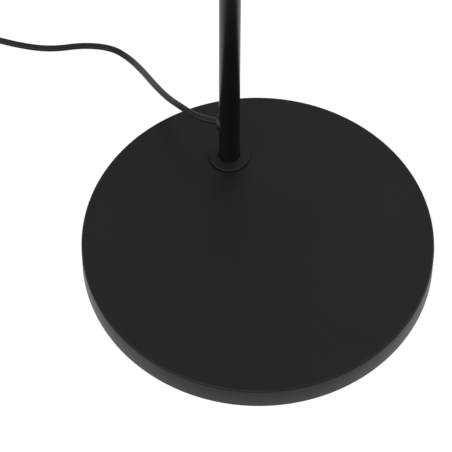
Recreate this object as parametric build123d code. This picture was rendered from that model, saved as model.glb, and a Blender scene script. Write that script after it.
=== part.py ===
from build123d import *
import os
from math import atan2, ceil, cos, degrees, pi, radians, sin, tan

# Gooseneck reading floor lamp, in millimetres with +Z up.
# The origin is the centre of the base's underside, on the floor. The pole stands towards +Y of it,
# and the neck arches from the pole's top towards -Y and holds the head over the base, facing down.

# ---- driving dimensions: base ----
base_diameter = 300.0
base_height = 25.0
cover_wall = 1.5
cover_edge_radius = 2.0
cover_floor_gap = 1.5
pad_thickness = 3.0
pad_margin = 4.0
ballast_clearance = 0.3
ballast_edge = 1.0
ballast_plate_thickness = 8.0
ballast_rim_width = 10.0
ballast_boss_diameter = 60.0

# ---- driving dimensions: pole and its fixing ----
pole_offset = 91.0
pole_diameter = 18.0
pole_wall = 1.2
pole_end_chamfer = 0.3
pole_section_length = 419.0
pole_section_names = ["pole_lower", "pole_middle", "pole_upper"]
joint_land = 2.0
insert_length = 28.0
insert_clearance = 0.05
coupler_half_length = 30.0
coupler_bore_diameter = 8.0
flange_diameter = 36.2
flange_thickness = 2.5
flange_edge_radius = 1.0
flange_clearance = 0.15
bolt_diameter = 10.0
bolt_across_flats = 17.0
bolt_head_height = 6.4
bolt_engagement = 22.0
hole_clearance = 0.25
thread_clearance = 0.1
washer_diameter = 30.0
washer_thickness = 2.5
recess_diameter = 34.0
recess_depth = 10.0

# ---- driving dimensions: cord gland and lead inside the pole ----
gland_height = 72.0
gland_heading = 152.0
gland_flange_diameter = 14.5
gland_flange_proud = 2.4
gland_barrel_diameter = 10.0
gland_inner_flange_diameter = 12.0
gland_inner_flange_depth = 1.8
gland_edge_radius = 0.8
gland_clearance = 0.1
pole_lead_diameter = 5.0
pole_lead_bend_radius = 7.0
lead_clearance = 0.1

# ---- driving dimensions: neck ----
neck_length = 400.0
neck_sweep = 180.0
neck_joints = 8
neck_diameter = 12.0
neck_valley_diameter = 10.4
neck_bore_diameter = 4.4
ribs_per_link = 9
rib_rise = 0.22
rib_crest = 0.38
neck_plug_length = 20.0
ball_diameter = 9.4
ball_clearance = 0.3
bend_straighten = 25.0
bend_curl = 5.0
rim_clearance = 0.35
neck_lead_diameter = 4.0
lead_end_gap = 0.5

# ---- driving dimensions: sockets at both ends of the neck ----
socket_foot_diameter = 20.0
socket_top_diameter = 16.0
socket_foot_height = 4.0
socket_height = 31.7
socket_edge_radius = 0.8
socket_bore_clearance = 0.15
spigot_diameter = 12.0
spigot_length = 24.0
spigot_clearance = 0.1
turn_gap = 0.3
head_ferrule_diameter = 16.0
head_ferrule_length = 34.0
ferrule_edge_radius = 1.5
nipple_diameter = 10.0
nipple_bore_diameter = 6.0
nipple_length = 38.0
nipple_inset = 10.0

# ---- driving dimensions: shade ----
shade_length = 131.0
shade_back_diameter = 68.0
shade_mouth_diameter = 96.0
shade_corner_radius = 9.0
shade_belly = 2.0
shade_wall = 0.9
lip_diameter = 2.4
vent_count = 12
vent_length = 12.0
vent_width = 3.0
vent_back_offset = 20.0
shade_nut_across_flats = 17.0
shade_nut_height = 5.0

# ---- driving dimensions: lampholder and bulb ----
holder_cap_length = 16.0
holder_cap_top_diameter = 22.0
holder_diameter = 34.0
holder_depth = 30.0
holder_floor = 4.0
holder_gap_to_nut = 14.0
holder_edge_radius = 1.5
holder_groove_offset = 2.4
holder_groove_width = 1.2
holder_groove_depth = 0.5
bulb_cap_diameter = 26.0
bulb_cap_clearance = 0.4
contact_diameter = 8.0
contact_thickness = 1.5
bulb_neck_length = 18.0
bulb_neck_diameter = 40.0
bulb_neck_hollow = 0.6
bulb_globe_diameter = 45.0

# ---- driving dimensions: switch ----
switch_offset = 17.5
switch_body_diameter = 15.0
switch_body_length = 17.0
switch_thread_diameter = 10.0
switch_nut_diameter = 15.0
switch_nut_height = 2.5
switch_travel = 2.5
switch_bottom_gap = 0.5
button_diameter = 7.0
button_height = 5.0
button_insertion = 8.5
button_clearance = 0.1
button_edge_radius = 1.0

# ---- driving dimensions: cord and plug ----
cord_diameter = 6.0
cord_floor_clearance = 0.2
cord_straight_exit = 16.0
coil_run_in = 26.0
tail_run_out = 24.0
plug_heading = 289.0
plug_run_in = 20.0
coil_centre = (-230.0, 260.0)
coil_entry_heading = 165.0
coil_gap = 0.6
coil_turns_each_way = 3
coil_inner_radius = 24.6
plug_length = 32.0
plug_width = 26.0
plug_thickness = 17.0
plug_rear_width = 12.0
plug_rear_thickness = 9.0
plug_corner_radius = 4.0
plug_groove_count = 3
plug_groove_start = 4.0
plug_groove_pitch = 3.0
plug_groove_width = 1.4
plug_groove_depth = 0.45
blade_spacing = 12.7
blade_thickness = 1.5
blade_width = 6.35
blade_length = 17.0
blade_root = 10.0
blade_hole_diameter = 3.2
blade_hole_inset = 5.2

# ---- worked-out places ----
base_radius = base_diameter / 2
pole_radius = pole_diameter / 2
pole_bore_radius = pole_radius - pole_wall
insert_radius = pole_bore_radius - insert_clearance
pole_axis = Vector(0, pole_offset, 0)
section_starts = [
    base_height + k * (pole_section_length + joint_land) for k in range(len(pole_section_names))
]
pole_top = section_starts[-1] + pole_section_length
neck_radius = neck_diameter / 2
bend_radius = neck_length / radians(neck_sweep)
bend_step = neck_sweep / neck_joints
neck_start = pole_top + turn_gap + socket_height
bend_centre = Vector(0, pole_offset - bend_radius, neck_start)
ball_radius = ball_diameter / 2
cup_radius = ball_radius + ball_clearance
gland_direction = Vector(cos(radians(gland_heading)), sin(radians(gland_heading)), 0)
gland_face_radius = pole_radius + gland_flange_proud
cord_exit = pole_axis + gland_direction * gland_face_radius + Vector(0, 0, gland_height)
cord_rest_height = cord_diameter / 2 + cord_floor_clearance
coil_pitch = cord_diameter + coil_gap

nodes = {}


def rod(radius, low, high, centre=(0, 0)):
    """An upright cylinder from one height to another."""
    return Pos(centre[0], centre[1], (low + high) / 2) * Cylinder(radius, high - low)


def tube(outer, inner, low, high, centre=(0, 0)):
    """An upright tube; the hole runs past both ends, so its faces are clean."""
    return rod(outer, low, high, centre) - rod(inner, low - 1, high + 1, centre)


def edges_at(shape, height):
    """The circular edges that lie at a height."""
    circles = shape.edges().filter_by(GeomType.CIRCLE)
    return [edge for edge in circles if abs(edge.center(CenterOf.MASS).Z - height) < 0.01]


# ------------------------------------------------------------------ base


def make_base():
    foot = (0, pole_offset)
    shell_top = base_height - cover_wall
    outer = rod(base_radius, cover_floor_gap, base_height)
    outer = fillet(edges_at(outer, base_height), cover_edge_radius)
    inner = rod(base_radius - cover_wall, 0, shell_top)
    inner = fillet(edges_at(inner, shell_top), max(cover_edge_radius - cover_wall, 0.3))
    bolt_hole = bolt_diameter / 2 + hole_clearance
    nodes["base_cover"] = outer - inner - rod(bolt_hole, 0, base_height + 1, foot)

    ballast_radius = base_radius - cover_wall - ballast_clearance
    recess_top = pad_thickness + recess_depth
    plate_top = pad_thickness + ballast_plate_thickness
    ballast = rod(ballast_radius, pad_thickness, shell_top)
    ballast = chamfer(edges_at(ballast, shell_top), ballast_edge)
    ballast -= rod(ballast_radius - ballast_rim_width, plate_top, base_height)
    ballast += rod(ballast_boss_diameter / 2, pad_thickness, shell_top, foot)
    ballast -= rod(bolt_hole, 0, base_height, foot)
    nodes["base_ballast"] = ballast - rod(recess_diameter / 2, 0, recess_top, foot)

    nodes["floor_pad"] = rod(base_radius - pad_margin, 0, pad_thickness)

    washer_low = recess_top - washer_thickness
    nodes["foot_washer"] = tube(washer_diameter / 2, bolt_hole, washer_low, recess_top, foot)

    head_low = washer_low - bolt_head_height
    head = extrude(RegularPolygon(bolt_across_flats / 2, 6, major_radius=False), bolt_head_height)
    shank_top = base_height + bolt_engagement
    nodes["foot_bolt"] = Pos(0, pole_offset, head_low) * head + rod(
        bolt_diameter / 2, head_low, shank_top, foot
    )

    flange_top = base_height + flange_thickness
    flange = rod(flange_diameter / 2, base_height, flange_top, foot)
    flange = fillet(edges_at(flange, flange_top), flange_edge_radius)
    nodes["foot_flange"] = flange - rod(pole_radius + flange_clearance, 0, flange_top + 1, foot)


# ------------------------------------------------------------------ pole


def pole_rod(low, high):
    """A bar of the pole's diameter with chamfered ends."""
    bar = rod(pole_radius, low, high, (0, pole_offset))
    return chamfer(edges_at(bar, low) + edges_at(bar, high), pole_end_chamfer)


def make_pole():
    foot = (0, pole_offset)
    thread_radius = bolt_diameter / 2 + thread_clearance
    nodes["foot_insert"] = tube(
        insert_radius, thread_radius, base_height, base_height + insert_length, foot
    )
    for name, low in zip(pole_section_names, section_starts):
        high = low + pole_section_length
        nodes[name] = pole_rod(low, high) - rod(pole_bore_radius, low - 1, high + 1, foot)
    hole = gland_cylinder(gland_barrel_diameter / 2 + gland_clearance, 0, pole_radius + 1)
    nodes["pole_lower"] -= hole

    for name, low in zip(["coupler_lower", "coupler_upper"], section_starts[1:]):
        middle = low - joint_land / 2
        coupler = rod(
            insert_radius, middle - coupler_half_length, middle + coupler_half_length, foot
        )
        coupler += pole_rod(low - joint_land, low)
        reach = coupler_half_length + 1
        bore = rod(coupler_bore_diameter / 2, middle - reach, middle + reach, foot)
        nodes[name] = coupler - bore

    nodes["pole_top_insert"] = tube(
        insert_radius,
        spigot_diameter / 2 + spigot_clearance,
        pole_top - insert_length,
        pole_top,
        foot,
    )


def gland_cylinder(radius, near, far):
    """A cylinder along the gland's axis, from one distance off the pole's axis to another."""
    place = Plane(
        origin=pole_axis + gland_direction * near + Vector(0, 0, gland_height),
        z_dir=gland_direction,
    )
    return extrude(place * Circle(radius), far - near)


def pole_band(outer, inner):
    """A ring round the pole's axis at the gland, tall enough for its flange."""
    reach = gland_flange_diameter
    low = gland_height - reach
    return tube(outer, inner, low, gland_height + reach, (0, pole_offset))


def pole_distance(point):
    """How far a point is from the pole's axis."""
    return ((point.X - pole_axis.X) ** 2 + (point.Y - pole_axis.Y) ** 2) ** 0.5


def gland_rim(flange):
    """The curved edge round the face of the gland's outer flange."""
    return [
        edge
        for edge in flange.edges()
        if abs(pole_distance(edge @ 0.3) - gland_face_radius) < 0.01
    ]


def make_gland():
    """A grommet whose flanges hug the pole's wall inside and out."""
    beyond = gland_face_radius + 1
    flange = gland_cylinder(gland_flange_diameter / 2, 0, beyond)
    flange = flange & pole_band(gland_face_radius, pole_radius)
    flange = fillet(gland_rim(flange), gland_edge_radius)
    rear_radius = pole_bore_radius - gland_inner_flange_depth
    rear = gland_cylinder(gland_inner_flange_diameter / 2, 0, beyond)
    rear = rear & pole_band(pole_bore_radius, rear_radius)
    barrel = gland_cylinder(gland_barrel_diameter / 2, 0, beyond)
    barrel = barrel & pole_band(pole_radius, pole_bore_radius)
    bore = gland_cylinder(pole_lead_diameter / 2 + lead_clearance, 0, beyond)
    nodes["cord_gland"] = flange + barrel + rear - bore


def make_pole_lead():
    """The lead's own route: in through the gland, a quarter turn, and up the middle of the pole."""
    corner = pole_axis + Vector(0, 0, gland_height)
    inward = corner + gland_direction * pole_lead_bend_radius
    upward = corner + Vector(0, 0, pole_lead_bend_radius)
    top = pole_axis + Vector(0, 0, pole_top - spigot_length - lead_end_gap)
    path = Wire(
        [
            Line(cord_exit, inward).edge(),
            TangentArc(inward, upward, tangent=-gland_direction).edge(),
            Line(upward, top).edge(),
        ]
    )
    section = Plane(origin=cord_exit, z_dir=-gland_direction) * Circle(pole_lead_diameter / 2)
    nodes["pole_lead"] = sweep(section, path)


# ------------------------------------------------------------------ neck


def bend_point(angle):
    """The point on the neck's centreline at an angle round the bend, 0 at its root."""
    return bend_centre + Vector(0, cos(radians(angle)), sin(radians(angle))) * bend_radius


def bend_plane(angle):
    """The plane square to the neck there, with X across the bend and Z along the neck."""
    along = Vector(0, -sin(radians(angle)), cos(radians(angle)))
    return Plane(origin=bend_point(angle), x_dir=(1, 0, 0), z_dir=along)


def ribbed_arc(start, end, ribs):
    """A ruled loft through four circles a rib: up to the crest, along it, down, and the groove."""
    crest, valley = neck_diameter / 2, neck_valley_diameter / 2
    rib = (end - start) / ribs
    shares = [(0, crest), (rib_crest, crest), (rib_crest + rib_rise, valley), (1 - rib_rise, valley)]
    rings = [(start + (k + share) * rib, radius) for k in range(ribs) for share, radius in shares]
    last_crest = [(end, crest)]
    sections = [bend_plane(angle) * Circle(radius) for angle, radius in rings + last_crest]
    return loft(sections, ruled=True)


def round_arc(radius, start, end):
    """A plain round bar along the bend from one angle to another."""
    axis = Axis(bend_centre, (-1, 0, 0))
    return revolve(bend_plane(start) * Circle(radius), -axis, end - start)


def side_gap(limit):
    """How far a link's face stands from the next hinge for its rim to clear at a limit."""
    tilt = radians(limit)
    return (rim_clearance + neck_radius * sin(tilt)) / cos(tilt)


def cut_link_foot(link, angle):
    """Cuts a link's foot back to a slant, wide on the outside of the bend, which straightens more."""
    wide, narrow = side_gap(bend_straighten), side_gap(bend_curl)
    slant = degrees(atan2(wide - narrow, neck_diameter))
    foot = bend_plane(angle)
    block = Box(4 * neck_diameter, 4 * neck_diameter, 2 * neck_diameter)
    lower = Pos(0, 0, (wide + narrow) / 2) * Rot(slant, 0, 0) * Pos(0, 0, -neck_diameter) * block
    return link - foot * lower


def ball_at(angle, radius):
    return bend_plane(angle) * Sphere(radius)


def straight_end(angle, radius, length):
    """A straight bar on from the bend's root (towards -Z of its plane) or its tip (towards +Z)."""
    away = -1 if angle == 0 else 1
    return extrude(bend_plane(angle) * Circle(radius), away * length)


def make_neck():
    """A chain of ribbed links: each has a ball at its foot, which sits in the cup of the one before."""
    hinge_angles = [(k + 0.5) * bend_step for k in range(neck_joints)]
    bore_radius = neck_bore_diameter / 2
    lead_radius = neck_lead_diameter / 2
    cup_back = degrees(cup_radius / bend_radius)
    ball_back = degrees((ball_radius - lead_end_gap) / bend_radius)
    half_ribs = ceil(ribs_per_link / 2)
    bounds = [0, *hinge_angles, neck_sweep]
    for k, (start, end) in enumerate(zip(bounds, bounds[1:])):
        is_root, is_tip = k == 0, k == neck_joints
        link = ribbed_arc(start, end, half_ribs if is_root or is_tip else ribs_per_link)
        bore_start, lead_start, lead_end = start, start - ball_back, end - cup_back
        if not is_root:
            link = cut_link_foot(link, start) + ball_at(start, ball_radius)
            bore_start = start - degrees(ball_diameter / bend_radius)
        if is_tip:
            link += straight_end(end, neck_radius, neck_plug_length)
            lead_end = end
        else:
            link -= ball_at(end, cup_radius)
        if is_root:
            link += straight_end(start, neck_radius, neck_plug_length)
            link -= straight_end(start, bore_radius, neck_plug_length + 1)
            lead_start = start
        if is_tip:
            link -= straight_end(end, bore_radius, neck_plug_length + 1)
        link -= round_arc(bore_radius, bore_start, end)
        nodes[f"neck_link_{k}"] = link

        lead = round_arc(lead_radius, lead_start, lead_end)
        if is_root:
            lead += straight_end(start, lead_radius, neck_start - pole_top + spigot_length)
        if is_tip:
            lead += straight_end(end, lead_radius, lead_reach_in_head())
        nodes[f"neck_lead_{k}"] = lead


def make_neck_socket():
    """The turned socket on the pole's top: a spigot in the insert, and a bore for the neck's root."""
    foot = (0, pole_offset)
    low = pole_top + turn_gap
    shoulder = low + socket_foot_height
    body = rod(socket_foot_diameter / 2, low, shoulder, foot)
    body = fillet(edges_at(body, shoulder), socket_edge_radius)
    upper = rod(socket_top_diameter / 2, low, neck_start, foot)
    upper = fillet(edges_at(upper, neck_start), socket_edge_radius)
    spigot = rod(spigot_diameter / 2, pole_top - spigot_length, low, foot)
    socket = body + upper + spigot
    bore = rod(
        neck_radius + socket_bore_clearance, neck_start - neck_plug_length, neck_start + 1, foot
    )
    way = rod(neck_bore_diameter / 2, pole_top - spigot_length - 1, neck_start, foot)
    nodes["neck_socket"] = socket - bore - way


# ------------------------------------------------------------------ head

head_place = bend_plane(neck_sweep)
shade_back = head_ferrule_length
shade_mouth = shade_back + shade_length
nut_end = shade_back + shade_wall + shade_nut_height
holder_start = nut_end + holder_gap_to_nut
holder_cup_start = holder_start + holder_cap_length
holder_end = holder_cup_start + holder_depth
contact_end = holder_cup_start + holder_floor + contact_thickness
nipple_start = head_ferrule_length - nipple_inset
nipple_end = nipple_start + nipple_length


def lead_reach_in_head():
    """From the neck's tip, through the nipple, to the wiring space in the lampholder's cap."""
    return holder_cup_start - 2


def make_head_fixings():
    thread = nipple_diameter / 2 + thread_clearance
    ferrule = rod(head_ferrule_diameter / 2, 0, head_ferrule_length)
    ferrule = fillet(edges_at(ferrule, 0), ferrule_edge_radius)
    ferrule -= rod(neck_radius + socket_bore_clearance, -1, neck_plug_length)
    nodes["head_ferrule"] = head_place * (ferrule - rod(thread, 0, head_ferrule_length + 1))
    nipple = tube(nipple_diameter / 2, nipple_bore_diameter / 2, nipple_start, nipple_end)
    nodes["head_nipple"] = head_place * nipple
    nut = extrude(
        RegularPolygon(shade_nut_across_flats / 2, 6, major_radius=False), shade_nut_height
    )
    nut = Pos(0, 0, shade_back + shade_wall) * nut - rod(thread, shade_back, nut_end + 1)
    nodes["shade_nut"] = head_place * nut


def bell(inset):
    """The shade's outer form, or with an inset the space inside it: flat back, round corner, flare."""
    back = shade_back + inset
    corner = shade_corner_radius - inset
    back_radius = shade_back_diameter / 2 - inset
    mouth_radius = shade_mouth_diameter / 2 - inset
    side_start = back + corner
    half_way = ((back_radius + mouth_radius) / 2 + shade_belly, (side_start + shade_mouth) / 2)
    edge = back_radius - corner
    outline = [
        Line((0, back), (edge, back)),
        ThreePointArc(
            (edge, back),
            (edge + corner * sin(pi / 4), side_start - corner * cos(pi / 4)),
            (back_radius, side_start),
        ),
        ThreePointArc((back_radius, side_start), half_way, (mouth_radius, shade_mouth)),
        Line((mouth_radius, shade_mouth), (0, shade_mouth)),
        Line((0, shade_mouth), (0, back)),
    ]
    profile = Plane.XZ * make_face(outline)
    return revolve(profile, Axis.Z)


def switch_cylinder(radius, near, far):
    """A cylinder on the switch's axis, beside the head's own, between two distances along the head."""
    return rod(radius, near, far, (0, switch_offset))


def make_shade():
    lip_radius = lip_diameter / 2
    shade = bell(0) - bell(shade_wall)
    lip_ring = shade_mouth_diameter / 2 - shade_wall / 2
    shade += Pos(0, 0, shade_mouth) * Torus(lip_ring, lip_radius)
    shade -= rod(nipple_diameter / 2 + hole_clearance, 0, nut_end)
    shade -= switch_cylinder(switch_thread_diameter / 2 + hole_clearance, 0, nut_end)
    slot = Plane.YZ * Rot(0, 0, 90) * SlotOverall(vent_length, vent_width)
    reach = shade_mouth_diameter / 2
    cutter = extrude(slot, reach)
    for k in range(vent_count):
        turn = Rot(0, 0, (k + 0.5) * 360 / vent_count)
        shade -= turn * Pos(reach / 3, 0, shade_back + vent_back_offset) * cutter
    nodes["shade"] = head_place * shade


def make_lampholder():
    thread = nipple_diameter / 2 + thread_clearance
    holder_radius = holder_diameter / 2
    cap = Pos(0, 0, (holder_start + holder_cup_start) / 2) * Cone(
        holder_cap_top_diameter / 2, holder_radius, holder_cap_length
    )
    cap = fillet(edges_at(cap, holder_start), holder_edge_radius)
    nodes["holder_cap"] = head_place * (cap - rod(thread, 0, holder_cup_start - 1))

    cup = rod(holder_radius, holder_cup_start, holder_end)
    cup = fillet(edges_at(cup, holder_end), holder_edge_radius)
    bore = bulb_cap_diameter / 2 + bulb_cap_clearance
    cup -= rod(bore, holder_cup_start + holder_floor, holder_end + 1)
    groove_start = holder_cup_start + holder_groove_offset
    cup -= tube(
        holder_radius + 1,
        holder_radius - holder_groove_depth,
        groove_start,
        groove_start + holder_groove_width,
    )
    nodes["holder_cup"] = head_place * cup

    contact = rod(contact_diameter / 2, holder_cup_start + holder_floor, contact_end)
    nodes["centre_contact"] = head_place * contact


def make_bulb():
    cap_radius = bulb_cap_diameter / 2
    taper = cap_radius - contact_diameter / 2
    cap = rod(cap_radius, contact_end, holder_end)
    nodes["bulb_cap"] = head_place * chamfer(edges_at(cap, contact_end), taper * 0.3, taper * 0.8)

    neck_end = holder_end + bulb_neck_length
    wide = bulb_neck_diameter / 2
    half_way = ((cap_radius + wide) / 2 - bulb_neck_hollow, (holder_end + neck_end) / 2)
    outline = [
        Line((0, holder_end), (cap_radius, holder_end)),
        ThreePointArc((cap_radius, holder_end), half_way, (wide, neck_end)),
        Line((wide, neck_end), (0, neck_end)),
        Line((0, neck_end), (0, holder_end)),
    ]
    nodes["bulb_neck"] = head_place * revolve(Plane.XZ * make_face(outline), Axis.Z)

    globe_radius = bulb_globe_diameter / 2
    rise = (globe_radius**2 - wide**2) ** 0.5
    globe = Pos(0, 0, neck_end + rise) * Sphere(globe_radius)
    globe -= rod(globe_radius + 1, neck_end - globe_radius, neck_end)
    nodes["bulb_globe"] = head_place * globe


def make_switch():
    """A latching push switch through the shade's back: body inside, ring nut and button outside."""
    thread = switch_thread_diameter / 2
    nut_top = shade_back - switch_nut_height
    inside = shade_back + shade_wall
    body = switch_cylinder(switch_body_diameter / 2, inside, inside + switch_body_length)
    body += switch_cylinder(thread, nut_top, inside)
    bore_end = nut_top + button_insertion + switch_travel + switch_bottom_gap
    bore = switch_cylinder(button_diameter / 2 + button_clearance, nut_top - 1, bore_end)
    nodes["switch_body"] = head_place * (body - bore)

    nut = switch_cylinder(switch_nut_diameter / 2, nut_top, shade_back)
    nut = fillet(edges_at(nut, nut_top), socket_edge_radius)
    nut -= switch_cylinder(thread + thread_clearance, nut_top - 1, shade_back + 1)
    nodes["switch_nut"] = head_place * nut

    crown = nut_top - button_height
    button = switch_cylinder(button_diameter / 2, crown, nut_top + button_insertion)
    nodes["switch_button"] = head_place * fillet(edges_at(button, crown), button_edge_radius)


# ------------------------------------------------------------------ cord


def fillet_radii(points):
    """For each corner of a route, the radius that its two runs allow."""
    radii = []
    for before, corner, after in zip(points, points[1:], points[2:]):
        run_in, run_out = corner - before, after - corner
        half_turn = radians(run_in.get_angle(run_out)) / 2
        radii.append(0.45 * min(run_in.length, run_out.length) / tan(half_turn))
    return radii


def cord_tube(name, points):
    """A round tube along a route with an arc at each corner; prints the arcs' radii and its volume."""
    radii = fillet_radii(points)
    path = FilletPolyline(*points, radius=radii)
    first_run = points[1] - points[0]
    section = Plane(origin=points[0], z_dir=first_run) * Circle(cord_diameter / 2)
    solid = sweep(section, path)
    expected = path.length * pi * cord_diameter**2 / 4
    print(f"{name}: length {path.length:.1f}, radii {[round(r, 1) for r in radii]},"
          f" volume {solid.volume:.0f} of {expected:.0f}")
    nodes[name] = solid


def heading(angle):
    return Vector(cos(radians(angle)), sin(radians(angle)), 0)


def coil_half_turns():
    """Centre, radius, start angle and heights of each half turn: in on the floor, up, and out on top."""
    low = cord_rest_height
    high = low + coil_pitch
    inward = 2 * coil_turns_each_way
    radii = [coil_inner_radius + (inward - k) * coil_pitch / 2 for k in range(inward)]
    levels = [(radius, low, low) for radius in radii]
    levels += [(coil_inner_radius, low, high)]
    levels += [(radius, high, high) for radius in reversed(radii[1:])]
    angle = coil_entry_heading - 90
    centre = Vector(coil_centre[0], coil_centre[1], 0)
    turns = []
    for k, (radius, start_height, end_height) in enumerate(levels):
        turns.append((centre, radius, angle, start_height, end_height))
        angle += 180
        if k + 1 < len(levels):
            centre += heading(angle) * (radius - levels[k + 1][0])
    last_radius = radii[0]
    centre += heading(angle) * (levels[-1][0] - last_radius)
    return turns, (centre, last_radius, angle, high, high)


def on_turn(turn, degrees_on):
    """The point and direction at so many degrees into a half turn, with an even climb in between."""
    centre, radius, angle, start_height, end_height = turn
    share = degrees_on / 180
    height = start_height + (end_height - start_height) * (share - sin(2 * pi * share) / (2 * pi))
    slope = (end_height - start_height) * (1 - cos(2 * pi * share)) / (pi * radius)
    point = centre + heading(angle + degrees_on) * radius + Vector(0, 0, height)
    return point, (heading(angle + degrees_on + 90) + Vector(0, 0, slope)).normalized()


def biarc(start, start_way, end, end_way):
    """Two arcs that leave one point and reach the other in given directions."""
    chord, ways = end - start, start_way + end_way
    square = 2 * (1 - start_way.dot(end_way))
    reach = (-chord.dot(ways) + (chord.dot(ways) ** 2 + square * chord.dot(chord)) ** 0.5) / square
    middle = (start + start_way * reach + end - end_way * reach) / 2
    first = TangentArc(start, middle, tangent=start_way)
    return [first.edge(), TangentArc(middle, end, tangent=first % 1).edge()]


def make_coil():
    """One unbroken tube: half-turn arcs on each layer, and quarter-turn biarcs where it climbs."""
    turns, last = coil_half_turns()
    arcs = []
    for turn in turns:
        stations = [on_turn(turn, angle) for angle in (0, 90, 180)]
        if turn[3] == turn[4]:
            arcs.append(ThreePointArc(*[point for point, _ in stations]).edge())
        else:
            for (start, start_way), (end, end_way) in zip(stations, stations[1:]):
                arcs += biarc(start, start_way, end, end_way)
    arcs.append(ThreePointArc(*[on_turn(last, angle)[0] for angle in (0, 45, 90)]).edge())
    path = Wire(arcs)
    start, way = on_turn(turns[0], 0)
    solid = sweep(Plane(origin=start, z_dir=way) * Circle(cord_diameter / 2), path)
    expected = path.length * pi * cord_diameter**2 / 4
    print(f"cord_coil: length {path.length:.1f}, volume {solid.volume:.0f} of {expected:.0f},"
          f" least gap {least_gap(path):.2f}")
    nodes["cord_coil"] = solid
    return start, way, *on_turn(last, 90)


def least_gap(path):
    """The least clear space between the coil's turns, on points along its centreline."""
    count = ceil(path.length / 4)
    points = [path.position_at(k / count) for k in range(count + 1)]
    apart = ceil(pi * coil_inner_radius * count / path.length)
    return min(
        (points[i] - points[j]).length - cord_diameter
        for i in range(count + 1)
        for j in range(i + apart, count + 1)
    )


def make_cord():
    coil_start, coil_start_way, coil_end, coil_end_way = make_coil()
    floor = cord_rest_height
    free_route = [
        cord_exit,
        cord_exit + gland_direction * cord_straight_exit,
        Vector(-34.5, 120.0, 67.5),
        Vector(-41.5, 140.0, 56.0),
        Vector(-46.5, 168.0, 40.5),
        Vector(-49.5, 196.0, 24.0),
        Vector(-54.5, 225.0, 8.5),
        Vector(-65.0, 247.0, floor),
        Vector(-88.0, 259.0, floor),
        Vector(-117.5, 262.0, floor),
        Vector(-143.0, 271.0, floor),
        Vector(-168.0, 287.5, floor),
        coil_start - coil_start_way * coil_run_in,
        coil_start,
    ]
    cord_tube("cord_free", free_route)

    plug_height = plug_thickness / 2
    plug_way = heading(plug_heading)
    before_plug = Vector(-274.0, 175.5, plug_height)
    tail_route = [
        coil_end,
        coil_end + coil_end_way * tail_run_out,
        Vector(-282.5, 222.5, floor),
        Vector(-280.0, 198.5, floor),
        before_plug,
        before_plug + plug_way * plug_run_in,
    ]
    cord_tube("cord_tail", tail_route)
    make_plug(tail_route[-1], plug_way)


def plug_groove(distance):
    """What one groove of the plug's ribbed taper takes away, at a distance from its rear face."""
    share = (distance + plug_groove_width / 2) / (plug_length / 2)
    width = plug_rear_width + (plug_width - plug_rear_width) * share - 2 * plug_groove_depth
    thickness = plug_rear_thickness + (plug_thickness - plug_rear_thickness) * share
    thickness -= 2 * plug_groove_depth
    kept = RectangleRounded(width, thickness, plug_corner_radius - plug_groove_depth)
    band = Rectangle(2 * plug_width, 2 * plug_width) - kept
    return Pos(0, 0, distance) * extrude(band, plug_groove_width)


def make_plug(entry, way):
    """A flat two-blade plug that lies on its broad side, tapered towards the cord."""
    rear = Plane(origin=entry, x_dir=way.cross(Vector(0, 0, 1)), z_dir=way)
    front = rear.offset(plug_length)
    waist = rear.offset(plug_length / 2)
    broad = RectangleRounded(plug_width, plug_thickness, plug_corner_radius)
    slim = RectangleRounded(plug_rear_width, plug_rear_thickness, plug_corner_radius)
    body = loft([rear * slim, waist * broad], ruled=True)
    body += loft([waist * broad, front * broad], ruled=True)
    for k in range(plug_groove_count):
        body -= rear * plug_groove(plug_groove_start + k * plug_groove_pitch)
    root = front.offset(-blade_root)
    blades = [
        extrude(
            root * Pos(side * blade_spacing / 2, 0, 0) * Rectangle(blade_thickness, blade_width),
            blade_root + blade_length,
        )
        for side in (-1, 1)
    ]
    for blade in blades:
        body -= blade
    nodes["plug_body"] = body
    hole_distance = plug_length + blade_length - blade_hole_inset
    hole = rear * Pos(0, 0, hole_distance) * Rot(0, 90, 0) * Cylinder(
        blade_hole_diameter / 2, plug_width
    )
    nodes["plug_blades"] = Compound([blade - hole for blade in blades])


def main():
    make_base()
    make_pole()
    make_gland()
    make_pole_lead()
    make_neck_socket()
    make_neck()
    make_head_fixings()
    make_shade()
    make_lampholder()
    make_bulb()
    make_switch()
    make_cord()
    os.makedirs("parts", exist_ok=True)
    for name, solid in nodes.items():
        export_step(solid, f"parts/{name}.step")
    top = max(solid.bounding_box().max.Z for solid in nodes.values())
    print(f"{len(nodes)} nodes, {top:.1f} mm tall")


main()
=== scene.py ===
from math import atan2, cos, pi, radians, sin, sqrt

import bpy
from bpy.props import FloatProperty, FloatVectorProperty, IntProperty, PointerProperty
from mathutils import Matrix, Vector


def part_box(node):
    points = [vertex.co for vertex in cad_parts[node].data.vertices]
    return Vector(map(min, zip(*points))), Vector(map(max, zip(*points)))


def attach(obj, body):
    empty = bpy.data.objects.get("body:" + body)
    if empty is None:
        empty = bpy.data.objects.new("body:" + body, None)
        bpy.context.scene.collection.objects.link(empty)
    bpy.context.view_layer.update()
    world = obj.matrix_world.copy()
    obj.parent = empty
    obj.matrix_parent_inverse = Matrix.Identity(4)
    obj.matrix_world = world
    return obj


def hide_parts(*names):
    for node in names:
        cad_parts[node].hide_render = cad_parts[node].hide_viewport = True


bl_info = {
    "name": "Gooseneck reading floor lamp",
    "version": (1, 0, 0),
    "blender": (4, 5, 0),
    "location": "3D View > Sidebar > Floor Lamp",
    "description": "Models a floor lamp with a disc base, a gooseneck and a bell shade",
    "category": "Add Mesh",
}

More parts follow.
